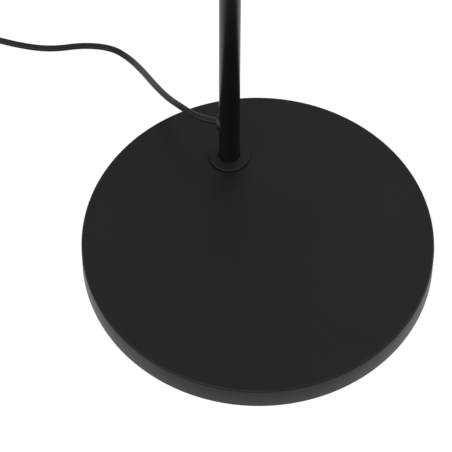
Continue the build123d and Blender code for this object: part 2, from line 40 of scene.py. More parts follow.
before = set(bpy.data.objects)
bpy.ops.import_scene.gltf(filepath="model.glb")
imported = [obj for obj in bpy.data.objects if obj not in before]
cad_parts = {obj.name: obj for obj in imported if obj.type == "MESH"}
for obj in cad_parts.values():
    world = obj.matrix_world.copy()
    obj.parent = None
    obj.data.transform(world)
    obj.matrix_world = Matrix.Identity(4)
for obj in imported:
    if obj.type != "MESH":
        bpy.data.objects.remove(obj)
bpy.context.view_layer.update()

MM = 0.001
UP = Vector((0, 0, 1))
STAND, NECK_ROOT, HEAD, BUTTON = "stand", "neck_root", "head", "button"
NECK_BODIES = [NECK_ROOT, *[f"neck_{k}" for k in range(1, 8)], HEAD]
BENDS = len(NECK_BODIES) - 1
MERGE_DISTANCE = 0.002 * MM
THREAD_CLEARANCE = 0.1 * MM
HOLE_CLEARANCE = 0.25 * MM
BLADE_SPACING = 12.7 * MM
SENSOR_WIDTH = 36


# ------------------------------------------------------------------ sizes and colours


def size(name, millimetres, description):
    """A length that the user may change, written in millimetres and kept in metres."""
    return FloatProperty(
        name=name,
        description=description,
        default=millimetres * MM,
        precision=5,
        unit="LENGTH",
        subtype="DISTANCE",
    )


def angle(name, degrees, description):
    """An angle that the user may change, written in degrees and kept in radians."""
    return FloatProperty(
        name=name,
        description=description,
        default=radians(degrees),
        unit="ROTATION",
        subtype="ANGLE",
    )


def number(name, default, description, **settings):
    return FloatProperty(name=name, description=description, default=default, **settings)


def share(name, default, description):
    return number(name, default, description, min=0, max=1, subtype="FACTOR")


def count(name, default, description):
    return IntProperty(name=name, description=description, default=default, min=1)


def colour(name, default, description):
    return FloatVectorProperty(
        name=name, description=description, default=default, min=0, max=1, size=3, subtype="COLOR"
    )


class LampSizes(bpy.types.PropertyGroup):
    """Sizes that the frame's boxes don't give."""

    cover_wall: size("Cover wall", 1.5, "Thickness of the base cover's sheet")
    cover_edge: size("Cover edge", 2.0, "Radius of the base cover's upper edge")
    cover_hem: size("Cover hem", 0.4, "Rounding of the base cover's lower edge")
    bolt_hole: size("Bolt hole", 10.5, "Diameter of the hole in the base cover")
    pole_wall: size("Pole wall", 1.2, "Wall of the pole's sections")
    pole_chamfer: size("Pole chamfer", 0.3, "Chamfer at the ends of the pole's sections")
    coupler_bore: size("Coupler bore", 8.0, "Bore of the couplers between the pole's sections")
    coupler_land: size("Coupler land", 2.0, "Height of the band that shows between two sections")
    insert_clearance: size("Insert clearance", 0.05, "Radial play between the pole and its inserts")
    flange_clearance: size("Flange clearance", 0.15, "Radial play between the pole and its flange")
    flange_edge: size("Flange edge", 1.0, "Radius of the flange's upper edge")
    gland_height: size("Gland height", 72.0, "Height of the cord's gland above the floor")
    gland_heading: angle("Gland heading", 152.0, "Direction in which the cord leaves the pole")
    gland_diameter: size("Gland diameter", 14.5, "Diameter of the gland's outer flange")
    gland_proud: size("Gland flange", 2.4, "How far the gland stands out from the pole")
    gland_barrel: size("Gland barrel", 10.0, "Diameter of the gland's barrel in the pole's wall")
    gland_rear: size("Gland rear flange", 12.0, "Diameter of the gland's flange inside the pole")
    gland_rear_depth: size("Gland rear depth", 1.8, "Thickness of the flange inside the pole")
    gland_edge: size("Gland edge", 0.8, "Rounding of the gland's edges")
    lead_bend: size("Lead bend", 7.0, "Bend radius of the lead inside the pole")
    neck_length: size("Neck length", 400.0, "Length of the gooseneck along its arc")
    neck_plug: size("Neck plug", 20.0, "Length of the neck held in each socket")
    neck_diameter: size("Neck diameter", 12.0, "Diameter over the neck's winding")
    neck_groove: size("Neck groove", 0.8, "Depth of the groove between two turns")
    neck_bore: size("Neck bore", 4.4, "Bore of the neck, for its lead")
    neck_ball: size("Neck ball", 9.4, "Diameter of the ball at a link's foot")
    cup_gap: size("Cup gap", 0.3, "Room between a ball and its cup")
    rim_gap: size("Rim gap", 0.35, "Room between two links' rims at a limit")
    neck_straighten: angle("Straighten", 25, "How far a link straightens")
    neck_curl: angle("Curl", 5, "How far a link curls on")
    neck_turns: count("Turns in a length", 16, "Turns of the winding between two bends")
    socket_foot: size("Socket foot", 4.0, "Height of the neck socket's foot")
    socket_diameter: size("Socket diameter", 16.0, "Diameter of the neck socket above its foot")
    socket_edge: size("Socket edge", 0.8, "Rounding of the turned sockets")
    socket_clearance: size("Socket clearance", 0.15, "Radial play between the neck and its sockets")
    spigot_diameter: size("Spigot diameter", 12.0, "Diameter of the spigot in the pole's top")
    turn_gap: size("Turn gap", 0.3, "Gap between the pole's top and the neck socket")
    ferrule_edge: size("Ferrule edge", 1.5, "Rounding at the top of the head's ferrule")
    nipple_diameter: size("Nipple diameter", 10.0, "Diameter of the threaded nipple")
    nipple_bore: size("Nipple bore", 6.0, "Bore of the threaded nipple")
    shade_back: size("Shade back", 68.0, "Diameter of the shade's back")
    shade_mouth: size("Shade mouth", 96.0, "Diameter of the shade's mouth")
    shade_corner: size("Shade corner", 9.0, "Radius between the shade's back and its side")
    shade_belly: size("Shade belly", 2.0, "How far the shade's side bulges outwards")
    shade_wall: size("Shade wall", 0.9, "Thickness of the shade's sheet")
    shade_lip: size("Shade lip", 2.4, "Diameter of the bead round the shade's mouth")
    vent_length: size("Vent length", 12.0, "Length of the shade's vents")
    vent_width: size("Vent width", 3.0, "Width of the shade's vents")
    vent_offset: size("Vent offset", 20.0, "Distance from the shade's back to its vents' middle")
    vent_count: count("Vents", 12, "Number of vents")
    holder_top: size("Holder top", 22.0, "Diameter of the lampholder's cap at its top")
    holder_floor: size("Holder floor", 4.0, "Thickness of the lampholder's floor")
    holder_edge: size("Holder edge", 1.5, "Rounding of the lampholder's edges")
    holder_bore: size("Holder bore", 26.8, "Bore of the lampholder's cup")
    bulb_cap: size("Bulb cap", 26.0, "Diameter of the bulb's cap")
    bulb_neck: size("Bulb neck", 40.0, "Diameter where the bulb's neck meets its globe")
    switch_thread: size("Switch thread", 10.0, "Diameter of the switch's threaded neck")
    button_clearance: size("Button clearance", 0.1, "Radial play between the button and its bore")
    button_edge: size("Button edge", 1.0, "Rounding of the button's crown")
    cord_width: size("Flex width", 6.0, "Width of the flat twin flex")
    cord_thickness: size("Flex thickness", 3.8, "Thickness of the flat twin flex")
    cord_length: size("Flex length", 1800.0, "Length of the flex outside the lamp")
    plug_corner: size("Plug corner", 4.0, "Rounding of the plug's long edges")
    blade_hole: size("Blade hole", 3.2, "Diameter of the hole in each blade")


class LampColours(bpy.types.PropertyGroup):
    """Colours of the lamp's finishes."""

    enamel: colour("Enamel", (0.0052, 0.0052, 0.0056), "Black satin enamel of the metalwork")
    neck: colour("Neck", (0.0075, 0.0075, 0.0080), "Black coat on the gooseneck")
    lining: colour("Lining", (0.82, 0.82, 0.80), "White inside of the shade")
    zinc: colour("Zinc", (0.55, 0.56, 0.58), "Zinc-plated steel")
    iron: colour("Iron", (0.09, 0.085, 0.08), "Cast iron of the ballast")
    brass: colour("Brass", (0.72, 0.53, 0.24), "Brass of the contacts")
    nickel: colour("Nickel", (0.66, 0.64, 0.60), "Nickel plate of the blades and the bulb's cap")
    rubber: colour("Rubber", (0.008, 0.008, 0.008), "Rubber of the pad and the gland")
    flex: colour("Flex", (0.0060, 0.0060, 0.0065), "Black jacket of the flex and plug")
    holder: colour("Holder", (0.016, 0.015, 0.014), "Moulded black of the lampholder and switch")
    bulb: colour("Bulb", (0.80, 0.80, 0.78), "White body of the bulb")
    opal: colour("Opal", (0.86, 0.86, 0.84), "Opal globe of the bulb")


class LampStage(bpy.types.PropertyGroup):
    """The camera, the lights and the floor."""

    camera_place: FloatVectorProperty(
        name="Camera place",
        description="Where the camera stands",
        default=(-0.4423, -1.4824, 2.3751),
        unit="LENGTH",
        subtype="TRANSLATION",
    )
    camera_pitch: angle("Camera pitch", 33.59, "The camera's tilt up from straight down")
    camera_azimuth: angle("Camera azimuth", -15.61, "The camera's heading round the vertical")
    camera_roll: angle("Camera roll", 0.19, "The camera's roll about its own line of sight")
    camera_lens: number("Lens", 263.6, "Focal length in millimetres on a 36 mm sensor")
    floor_size: number("Floor", 12, "Length of the floor's side", unit="LENGTH")
    floor_grey: share("Floor grey", 0.35, "How much light the floor gives back")
    floor_lift: share("Floor lift", 0.8, "Light added to the floor where it is seen or mirrored")
    wall_light: share("Wall light", 0.9, "Strength of the room's light near the horizon")
    ceiling_light: share("Ceiling light", 0.22, "Strength of the room's light overhead")
    key_strength: number("Key light", 1.6, "Strength of the key light")
    fill_strength: number("Fill light", 1.2, "Strength of the fill light")
    light_spread: angle("Light spread", 60, "How wide the key and fill lights are in the sky")


# ------------------------------------------------------------------ modelling by hand


def select_only(piece):
    bpy.ops.object.select_all(action="DESELECT")
    piece.select_set(True)
    bpy.context.view_layer.objects.active = piece


def edit(piece):
    """Opens a piece in edit mode with all of it selected."""
    select_only(piece)
    bpy.ops.object.mode_set(mode="EDIT")
    bpy.ops.mesh.select_all(action="SELECT")


def leave_edit():
    bpy.ops.object.mode_set(mode="OBJECT")


def pick_points(piece, wanted):
    """Selects the vertices whose place passes a test, and nothing else."""
    for part in (*piece.data.edges, *piece.data.polygons):
        part.select = False
    for vertex in piece.data.vertices:
        vertex.select = wanted(vertex.co)


def primitive(kind, name, **settings):
    """Adds one of Blender's own forms, selected alone."""
    bpy.ops.object.select_all(action="DESELECT")
    getattr(bpy.ops.mesh, f"primitive_{kind}_add")(**settings)
    piece = bpy.context.object
    piece.name = piece.data.name = name
    return piece


def apply_place(piece):
    """Puts a piece's place, turn and scale into its mesh."""
    select_only(piece)
    bpy.ops.object.transform_apply(location=True, rotation=True, scale=True)


def close_seams(piece):
    """Merges what lies together and turns every face outwards."""
    edit(piece)
    bpy.ops.mesh.remove_doubles(threshold=MERGE_DISTANCE)
    bpy.ops.mesh.normals_make_consistent(inside=False)
    leave_edit()


def turned(name, outline, centre, segments=96, hollow=False):
    """A turned piece: a circle is extruded and scaled to each (radius, height) of an outline.

    A hollow piece's outline runs round its section; a solid one's ends at two flat faces."""
    radius, height = outline[0]
    piece = primitive(
        "circle",
        name,
        vertices=segments,
        radius=radius,
        fill_type="NOTHING" if hollow else "NGON",
        location=(*centre, height),
    )
    edit(piece)
    for next_radius, next_height in outline[1:] + outline[:1] * hollow:
        rise = (0, 0, next_height - height)
        bpy.ops.mesh.extrude_region_move(TRANSFORM_OT_translate={"value": rise})
        ratio = next_radius / radius
        bpy.ops.transform.resize(value=(ratio, ratio, 1), center_override=(*centre, next_height))
        radius, height = next_radius, next_height
    leave_edit()
    close_seams(piece)
    return piece


def arc(centre, radius, start, end, steps):
    """Points along an arc of an outline, between two angles in degrees."""
    angles = [radians(start + (end - start) * k / steps) for k in range(steps + 1)]
    return [(centre[0] + radius * cos(a), centre[1] + radius * sin(a)) for a in angles]


def arc_through(start, middle, end, steps):
    """Points along the arc that leads from start to end through middle."""
    (ax, ay), (bx, by), (cx, cy) = start, middle, end
    a, b, c = ax * ax + ay * ay, bx * bx + by * by, cx * cx + cy * cy
    double_area = 2 * (ax * (by - cy) + bx * (cy - ay) + cx * (ay - by))
    x = (a * (by - cy) + b * (cy - ay) + c * (ay - by)) / double_area
    y = (a * (cx - bx) + b * (ax - cx) + c * (bx - ax)) / double_area
    radius = sqrt((ax - x) ** 2 + (ay - y) ** 2)
    first, last = atan2(ay - y, ax - x), atan2(cy - y, cx - x)
    return arc((x, y), radius, first * 180 / pi, last * 180 / pi, steps)


def apply_modifier(piece, kind, **settings):
    modifier = piece.modifiers.new(kind.title(), kind)
    for key, value in settings.items():
        setattr(modifier, key, value)
    select_only(piece)
    bpy.ops.object.modifier_apply(modifier=modifier.name)


def combine(piece, tool, operation="DIFFERENCE"):
    """Cuts a tool from a piece, joins it on, or keeps what both share; the tool is used up."""
    apply_modifier(piece, "BOOLEAN", operation=operation, solver="EXACT", object=tool)
    bpy.data.objects.remove(tool)


def round_edges(piece, width, segments=3, sharper_than=40):
    apply_modifier(
        piece,
        "BEVEL",
        width=width,
        segments=segments,
        limit_method="ANGLE",
        angle_limit=radians(sharper_than),
        use_clamp_overlap=True,
    )


def bar(name, radius, start, end, segments=64):
    """A plain round bar between two points, used as a tool."""
    along = end - start
    return primitive(
        "cylinder",
        name,
        vertices=segments,
        radius=radius,
        depth=along.length,
        location=(start + end) / 2,
        rotation=along.to_track_quat("Z", "Y").to_euler(),
    )


def slice_off(piece, point, outwards):
    """Cuts away what lies beyond a plane and closes the cut."""
    edit(piece)
    bpy.ops.mesh.bisect(
        plane_co=point,
        plane_no=outwards,
        use_fill=True,
        clear_outer=True,
        threshold=MERGE_DISTANCE,
    )
    leave_edit()


def copy_of(piece, name, place=None):
    """A copy with its own mesh, moved by a matrix."""
    twin = piece.copy()
    twin.data = piece.data.copy()
    twin.name = twin.data.name = name
    bpy.context.collection.objects.link(twin)
    if place is not None:
        twin.matrix_world = place @ piece.matrix_world
    return twin


def mount(piece, finish, body, slot, *nodes, smooth=30):
    """Finishes a piece and makes it ride on a body, in the place of the CAD nodes named."""
    apply_place(piece)
    bpy.ops.object.shade_smooth_by_angle(angle=radians(smooth))
    piece.data.materials.append(FINISHES[finish])
    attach(piece, body)
    if nodes:
        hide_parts(*nodes)


# ------------------------------------------------------------------ places from the frame


def heights(node):
    low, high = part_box(node)
    return low.z, high.z


def radius_of(node):
    low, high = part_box(node)
    return (high.x - low.x) / 2


def axis_of(node):
    low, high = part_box(node)
    return (low.x + high.x) / 2, (low.y + high.y) / 2


def gland_direction(sizes):
    return Vector((cos(sizes.gland_heading), sin(sizes.gland_heading), 0))


def gland_place(sizes, distance):
    """The point on the gland's axis so far from the pole's axis."""
    return Vector((*axis_of("pole_lower"), sizes.gland_height)) + gland_direction(sizes) * distance


def neck_foot():
    """Where the neck leaves its socket, at the start of its bend."""
    return Vector((*axis_of("neck_socket"), heights("neck_socket")[1]))


def link_length(sizes):
    """The neck's length along its arc between two bends."""
    return sizes.neck_length / BENDS


def bend_place(sizes, turn):
    """The frame on the neck's centreline so far round its bend: Z runs along the neck."""
    radius = sizes.neck_length / pi
    centre = neck_foot() - Vector((0, radius, 0))
    return (
        Matrix.Translation(centre)
        @ Matrix.Rotation(turn, 4, "X")
        @ Matrix.Translation((0, radius, 0))
    )


# ------------------------------------------------------------------ finishes


class Field:
    """A value that varies over a surface; arithmetic on it adds Math nodes to its finish."""

    def __init__(self, finish, socket):
        self.finish = finish
        self.socket = socket

    def math(self, operation, *values):
        return self.finish.node("ShaderNodeMath", {"operation": operation}, dict(enumerate(values)))

    def __add__(self, other):
        return self.math("ADD", self, other)

    __radd__ = __add__

    def __sub__(self, other):
        return self.math("SUBTRACT", self, other)

    def __rsub__(self, other):
        return self.math("SUBTRACT", other, self)

    def __mul__(self, other):
        return self.math("MULTIPLY", self, other)

    __rmul__ = __mul__


class Finish:
    """A node tree under construction, for a surface or for the world."""

    def __init__(self, owner):
        owner.use_nodes = True
        self.owner = owner
        self.tree = owner.node_tree

    def node(self, kind, settings=None, sockets=None, output=0):
        """Adds a node: its settings first, then its sockets' values or links; gives one output."""
        made = self.tree.nodes.new(kind)
        for key, value in (settings or {}).items():
            if key == "stops":
                set_stops(made.color_ramp, value)
            else:
                setattr(made, key, value)
        for key, value in (sockets or {}).items():
            self.feed(made.inputs[key], value)
        return Field(self, made.outputs[output])

    def feed(self, socket, value):
        if isinstance(value, Field):
            self.tree.links.new(value.socket, socket)
        else:
            socket.default_value = value

    def noise(self, scale, detail=2.0, stretch=(1, 1, 1)):
        """Noise in the object's own coordinates, from 0 to 1; the scale is in waves a metre."""
        place = self.node("ShaderNodeTexCoord", output="Object")
        if stretch != (1, 1, 1):
            place = self.node("ShaderNodeMapping", sockets={"Vector": place, "Scale": stretch})
        return self.node(
            "ShaderNodeTexNoise", sockets={"Vector": place, "Scale": scale, "Detail": detail}
        )

    def ramp(self, value, *stops):
        """A grey ramp of (position, level) stops."""
        return self.node("ShaderNodeValToRGB", {"stops": stops}, {"Fac": value})

    def tint(self, factor, first, second):
        """A colour between two, by a factor."""
        return self.node(
            "ShaderNodeMix", {"data_type": "RGBA"}, {0: factor, 6: first, 7: second}, output=2
        )

    def coat(self, **sockets):
        """Sets the surface shader's sockets; a name's underscores stand for spaces."""
        shader = self.tree.nodes["Principled BSDF"]
        for key, value in sockets.items():
            self.feed(shader.inputs[key.replace("_", " ")], value)

    def bump(self, height, distance, strength=1.0):
        """A Bump node's normal, from a height field; the distance is in metres."""
        return self.node(
            "ShaderNodeBump", sockets={"Strength": strength, "Distance": distance, "Height": height}
        )


def set_stops(color_ramp, stops):
    while len(color_ramp.elements) < len(stops):
        color_ramp.elements.new(1.0)
    for element, (position, level) in zip(color_ramp.elements, stops):
        element.position = position
        element.color = (level, level, level, 1)


def rgb(hue, brightness=1.0):
    return (*[channel * brightness for channel in hue], 1.0)


def new_finish(name):
    return Finish(bpy.data.materials.new(name))


def enamel(name, hue, roughness, grain=0.00002):
    """Baked satin enamel: a fine grain, a faint orange peel and clouds of slightly duller coat."""
    finish = new_finish(name)
    speck = finish.noise(2600, detail=1)
    peel = finish.noise(420, detail=2)
    cloud = finish.noise(14, detail=3)
    finish.coat(
        Base_Color=finish.tint(cloud * 0.7 + speck * 0.3, rgb(hue, 0.75), rgb(hue, 1.25)),
        Specular_IOR_Level=0.165,
        Roughness=cloud * 0.10 + speck * 0.08 + (roughness - 0.09),
        Normal=finish.bump(speck * 0.6 + peel, grain),
    )
    return finish.owner


def moulded(name, hue, roughness, grain=0.00003):
    """Moulded plastic or rubber with a fine spark-eroded grain."""
    finish = new_finish(name)
    grit = finish.noise(1900, detail=3)
    cloud = finish.noise(30, detail=2)
    finish.coat(
        Base_Color=finish.tint(cloud, rgb(hue, 0.85), rgb(hue, 1.15)),
        Specular_IOR_Level=0.25,
        Roughness=grit * 0.12 + cloud * 0.06 + (roughness - 0.09),
        Normal=finish.bump(grit, grain),
    )
    return finish.owner


def plated(name, hue, roughness):
    """Plated metal with fine turning marks and faint stains."""
    finish = new_finish(name)
    marks = finish.noise(900, detail=2, stretch=(0.2, 0.2, 4))
    stain = finish.noise(60, detail=4)
    finish.coat(
        Base_Color=finish.tint(stain, rgb(hue, 0.86), rgb(hue, 1.05)),
        Metallic=1.0,
        Roughness=marks * 0.12 + stain * 0.10 + (roughness - 0.11),
        Normal=finish.bump(marks, 0.00001),
    )
    return finish.owner


def cast(name, hue):
    """Bare cast iron with a sandy skin and rusty clouds."""
    finish = new_finish(name)
    sand = finish.noise(700, detail=5)
    rust = finish.ramp(finish.noise(38, detail=5), (0.48, 0), (0.66, 1))
    finish.coat(
        Base_Color=finish.tint(rust * 0.5, rgb(hue), (0.12, 0.055, 0.03, 1)),
        Metallic=0.7 - rust * 0.5,
        Roughness=0.55 + sand * 0.25,
        Normal=finish.bump(sand, 0.0003),
    )
    return finish.owner


def white_lining(name, hue):
    """White enamel with a soft eggshell skin."""
    finish = new_finish(name)
    peel = finish.noise(700, detail=2)
    cloud = finish.noise(20, detail=3)
    finish.coat(
        Base_Color=finish.tint(cloud, rgb(hue, 0.96), rgb(hue, 1.0)),
        Roughness=0.42 + cloud * 0.1,
        Normal=finish.bump(peel, 0.00002),
    )
    return finish.owner


def opal_glass(name, hue):
    """Opal globe: white and diffusing under a smooth skin."""
    finish = new_finish(name)
    haze = finish.noise(45, detail=3)
    finish.coat(
        Base_Color=finish.tint(haze, rgb(hue, 0.97), rgb(hue, 1.0)),
        Roughness=0.16 + haze * 0.06,
        Subsurface_Weight=0.35,
        Subsurface_Scale=0.004,
    )
    return finish.owner


def jacket(name, hue):
    """The flex's soft jacket: glossy, with drawing lines and a little dust in its grain."""
    finish = new_finish(name)
    grain = finish.noise(1500, detail=3)
    drag = finish.noise(160, detail=2)
    finish.coat(
        Base_Color=finish.tint(drag, rgb(hue, 0.8), rgb(hue, 1.3)),
        Specular_IOR_Level=0.16,
        Roughness=grain * 0.10 + drag * 0.10 + 0.18,
        Normal=finish.bump(grain * 0.5 + drag, 0.00003),
    )
    return finish.owner


FINISHES = {}


def make_finishes(colours):
    """Every finish of the lamp, by name."""
    FINISHES.update(
        base=enamel("base_enamel", colours.enamel, 0.42),
        pole=enamel("pole_enamel", colours.enamel, 0.27),
        shade=enamel("shade_enamel", colours.enamel, 0.38),
        neck=enamel("neck_coat", colours.neck, 0.40),
        lining=white_lining("shade_lining", colours.lining),
        zinc=plated("zinc_plate", colours.zinc, 0.36),
        brass=plated("brass", colours.brass, 0.28),
        nickel=plated("nickel_plate", colours.nickel, 0.22),
        iron=cast("cast_iron", colours.iron),
        pad=moulded("pad_rubber", colours.rubber, 0.8, grain=0.0001),
        gland=moulded("gland_rubber", colours.rubber, 0.42),
        flex=jacket("flex_jacket", colours.flex),
        plug=moulded("plug_moulding", colours.flex, 0.45),
        holder=moulded("holder_moulding", colours.holder, 0.34, grain=0.00001),
        switch=moulded("switch_moulding", colours.holder, 0.38, grain=0.00001),
        bulb=moulded("bulb_body", colours.bulb, 0.42, grain=0.00001),
        opal=opal_glass("opal_globe", colours.opal),
    )


class LAMP_OT_finishes(bpy.types.Operator):
    """Make every finish and dress the pieces that stay as the frame has them"""

    bl_idname = "lamp.finishes"
    bl_label = "Finishes"

    carried = {
        "iron": ["base_ballast"],
        "pad": ["floor_pad"],
        "zinc": ["foot_washer", "foot_bolt", "foot_insert", "pole_top_insert", "shade_nut"],
        "brass": ["centre_contact"],
        "flex": [f"neck_lead_{k}" for k in range(9)],
    }

    def execute(self, context):
        make_finishes(context.scene.lamp_colours)
        for finish, nodes in self.carried.items():
            for node in nodes:
                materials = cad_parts[node].data.materials
                materials.clear()
                materials.append(FINISHES[finish])
        return {"FINISHED"}


# ------------------------------------------------------------------ base and pole


class LAMP_OT_base(bpy.types.Operator):
    """Model the base's spun cover and the flange at the pole's foot"""

    bl_idname = "lamp.base"
    bl_label = "Base"

    def execute(self, context):
        sizes = context.scene.lamp_sizes
        self.make_cover(sizes)
        self.make_flange(sizes)
        return {"FINISHED"}

    def make_cover(self, sizes):
        low, top = heights("base_cover")
        radius, wall = radius_of("base_cover"), sizes.cover_wall
        edge, hem = sizes.cover_edge, sizes.cover_hem
        inside, ceiling = radius - wall, top - wall
        inner_edge = max(edge - wall, hem)
        middle = 4 * MM
        outline = [
            (middle, ceiling),
            *arc((inside - inner_edge, ceiling - inner_edge), inner_edge, 90, 0, 3),
            (inside, low),
            *arc((radius - hem, low + hem), hem, -90, 0, 3),
            *arc((radius - edge, top - edge), edge, 0, 90, 8),
            (middle, top),
        ]
        cover = turned("base_shell", outline, (0, 0), segments=288)
        foot = Vector((*axis_of("pole_lower"), 0))
        above = foot + UP * (top + wall)
        combine(cover, bar("bolt_hole_tool", sizes.bolt_hole / 2, foot, above))
        mount(cover, "base", STAND, "black_enamel", "base_cover")

    def make_flange(self, sizes):
        low, top = heights("foot_flange")
        outer, edge = radius_of("foot_flange"), sizes.flange_edge
        inner = radius_of("pole_lower") + sizes.flange_clearance
        ease = 0.3 * MM
        outline = [
            (inner, low),
            (outer - ease, low),
            (outer, low + ease),
            *arc((outer - edge, top - edge), edge, 0, 90, 6),
            (inner + ease, top),
            (inner, top - ease),
        ]
        flange = turned("flange_ring", outline, axis_of("pole_lower"), segments=128, hollow=True)
        mount(flange, "base", STAND, "black_enamel", "foot_flange")


class LAMP_OT_pole(bpy.types.Operator):
    """Model the pole's three sections and the couplers between them"""

    bl_idname = "lamp.pole"
    bl_label = "Pole"

    def execute(self, context):
        sizes = context.scene.lamp_sizes
        self.make_sections(sizes)
        self.make_couplers(sizes)
        return {"FINISHED"}

    def make_sections(self, sizes):
        low, top = heights("pole_lower")
        outer, chamfer = radius_of("pole_lower"), sizes.pole_chamfer
        inner = outer - sizes.pole_wall
        outline = [
            (inner, low),
            (outer - chamfer, low),
            (outer, low + chamfer),
            (outer, top - chamfer),
            (outer - chamfer, top),
            (inner, top),
        ]
        section = turned("pole_tube_lower", outline, axis_of("pole_lower"), hollow=True)
        for node, name in (("pole_middle", "pole_tube_middle"), ("pole_upper", "pole_tube_upper")):
            rise = Matrix.Translation((0, 0, heights(node)[0] - low))
            twin = copy_of(section, name, rise)
            mount(twin, "pole", STAND, "pole_enamel", node)
        hole = bar(
            "gland_hole_tool",
            sizes.gland_barrel / 2,
            gland_place(sizes, 0),
            gland_place(sizes, 2 * outer),
        )
        combine(section, hole)
        mount(section, "pole", STAND, "pole_enamel", "pole_lower")

    def make_couplers(self, sizes):
        low, top = heights("coupler_lower")
        outer, chamfer = radius_of("pole_lower"), sizes.pole_chamfer
        insert = outer - sizes.pole_wall - sizes.insert_clearance
        bore = sizes.coupler_bore / 2
        land_low = (low + top - sizes.coupler_land) / 2
        land_top = land_low + sizes.coupler_land
        outline = [
            (bore, low),
            (insert - chamfer, low),
            (insert, low + chamfer),
            (insert, land_low),
            (outer - chamfer, land_low),
            (outer, land_low + chamfer),
            (outer, land_top - chamfer),
            (outer - chamfer, land_top),
            (insert, land_top),
            (insert, top - chamfer),
            (insert - chamfer, top),
            (bore, top),
        ]
        coupler = turned("pole_coupler_lower", outline, axis_of("pole_lower"), hollow=True)
        rise = Matrix.Translation((0, 0, heights("coupler_upper")[0] - low))
        twin = copy_of(coupler, "pole_coupler_upper", rise)
        for piece, node in ((coupler, "coupler_lower"), (twin, "coupler_upper")):
            mount(piece, "pole", STAND, "black_enamel", node)


class LAMP_OT_gland(bpy.types.Operator):
    """Model the grommet that the flex leaves by, hugging the pole inside and out"""

    bl_idname = "lamp.gland"
    bl_label = "Gland"

    def execute(self, context):
        sizes = context.scene.lamp_sizes
        outer = radius_of("pole_lower")
        inner = outer - sizes.pole_wall
        overlap = 0.1 * MM
        proud = outer + sizes.gland_proud
        gland = self.saddle("cord_grommet", sizes, sizes.gland_diameter, outer, proud)
        round_edges(gland, sizes.gland_edge, segments=4)
        deep = inner - sizes.gland_rear_depth
        rear = self.saddle("rear_tool", sizes, sizes.gland_rear, deep, inner)
        barrel = self.saddle(
            "barrel_tool", sizes, sizes.gland_barrel, inner - overlap, outer + overlap
        )
        combine(gland, barrel, "UNION")
        combine(gland, rear, "UNION")
        combine(gland, self.flex_way(sizes))
        mount(gland, "gland", STAND, "gland_black", "cord_gland", smooth=45)
        return {"FINISHED"}

    def saddle(self, name, sizes, diameter, inner, outer):
        """What a bar along the gland's axis shares with a ring round the pole."""
        reach = sizes.gland_diameter
        low, top = sizes.gland_height - reach, sizes.gland_height + reach
        ring = [(inner, low), (outer, low), (outer, top), (inner, top)]
        band = turned("band_tool", ring, axis_of("pole_lower"), segments=128, hollow=True)
        far = gland_place(sizes, outer + reach)
        saddle = bar(name, diameter / 2, gland_place(sizes, 0), far)
        combine(saddle, band, "INTERSECT")
        return saddle

    def flex_way(self, sizes):
        """A flat oval bar a little larger than the flex."""
        play = 0.1 * MM
        reach = 3 * radius_of("pole_lower")
        way = bar(
            "flex_way_tool", 1.0, gland_place(sizes, 0), gland_place(sizes, reach), segments=48
        )
        edit(way)
        centre = gland_place(sizes, reach / 2)
        across, upright = sizes.cord_width / 2 + play, sizes.cord_thickness / 2 + play
        turn = Matrix.Rotation(sizes.gland_heading, 3, "Z")
        bpy.ops.transform.resize(
            value=(1, across, upright),
            orient_type="GLOBAL",
            orient_matrix=turn,
            orient_matrix_type="GLOBAL",
            center_override=centre,
        )
        leave_edit()
        return way


# ------------------------------------------------------------------ neck


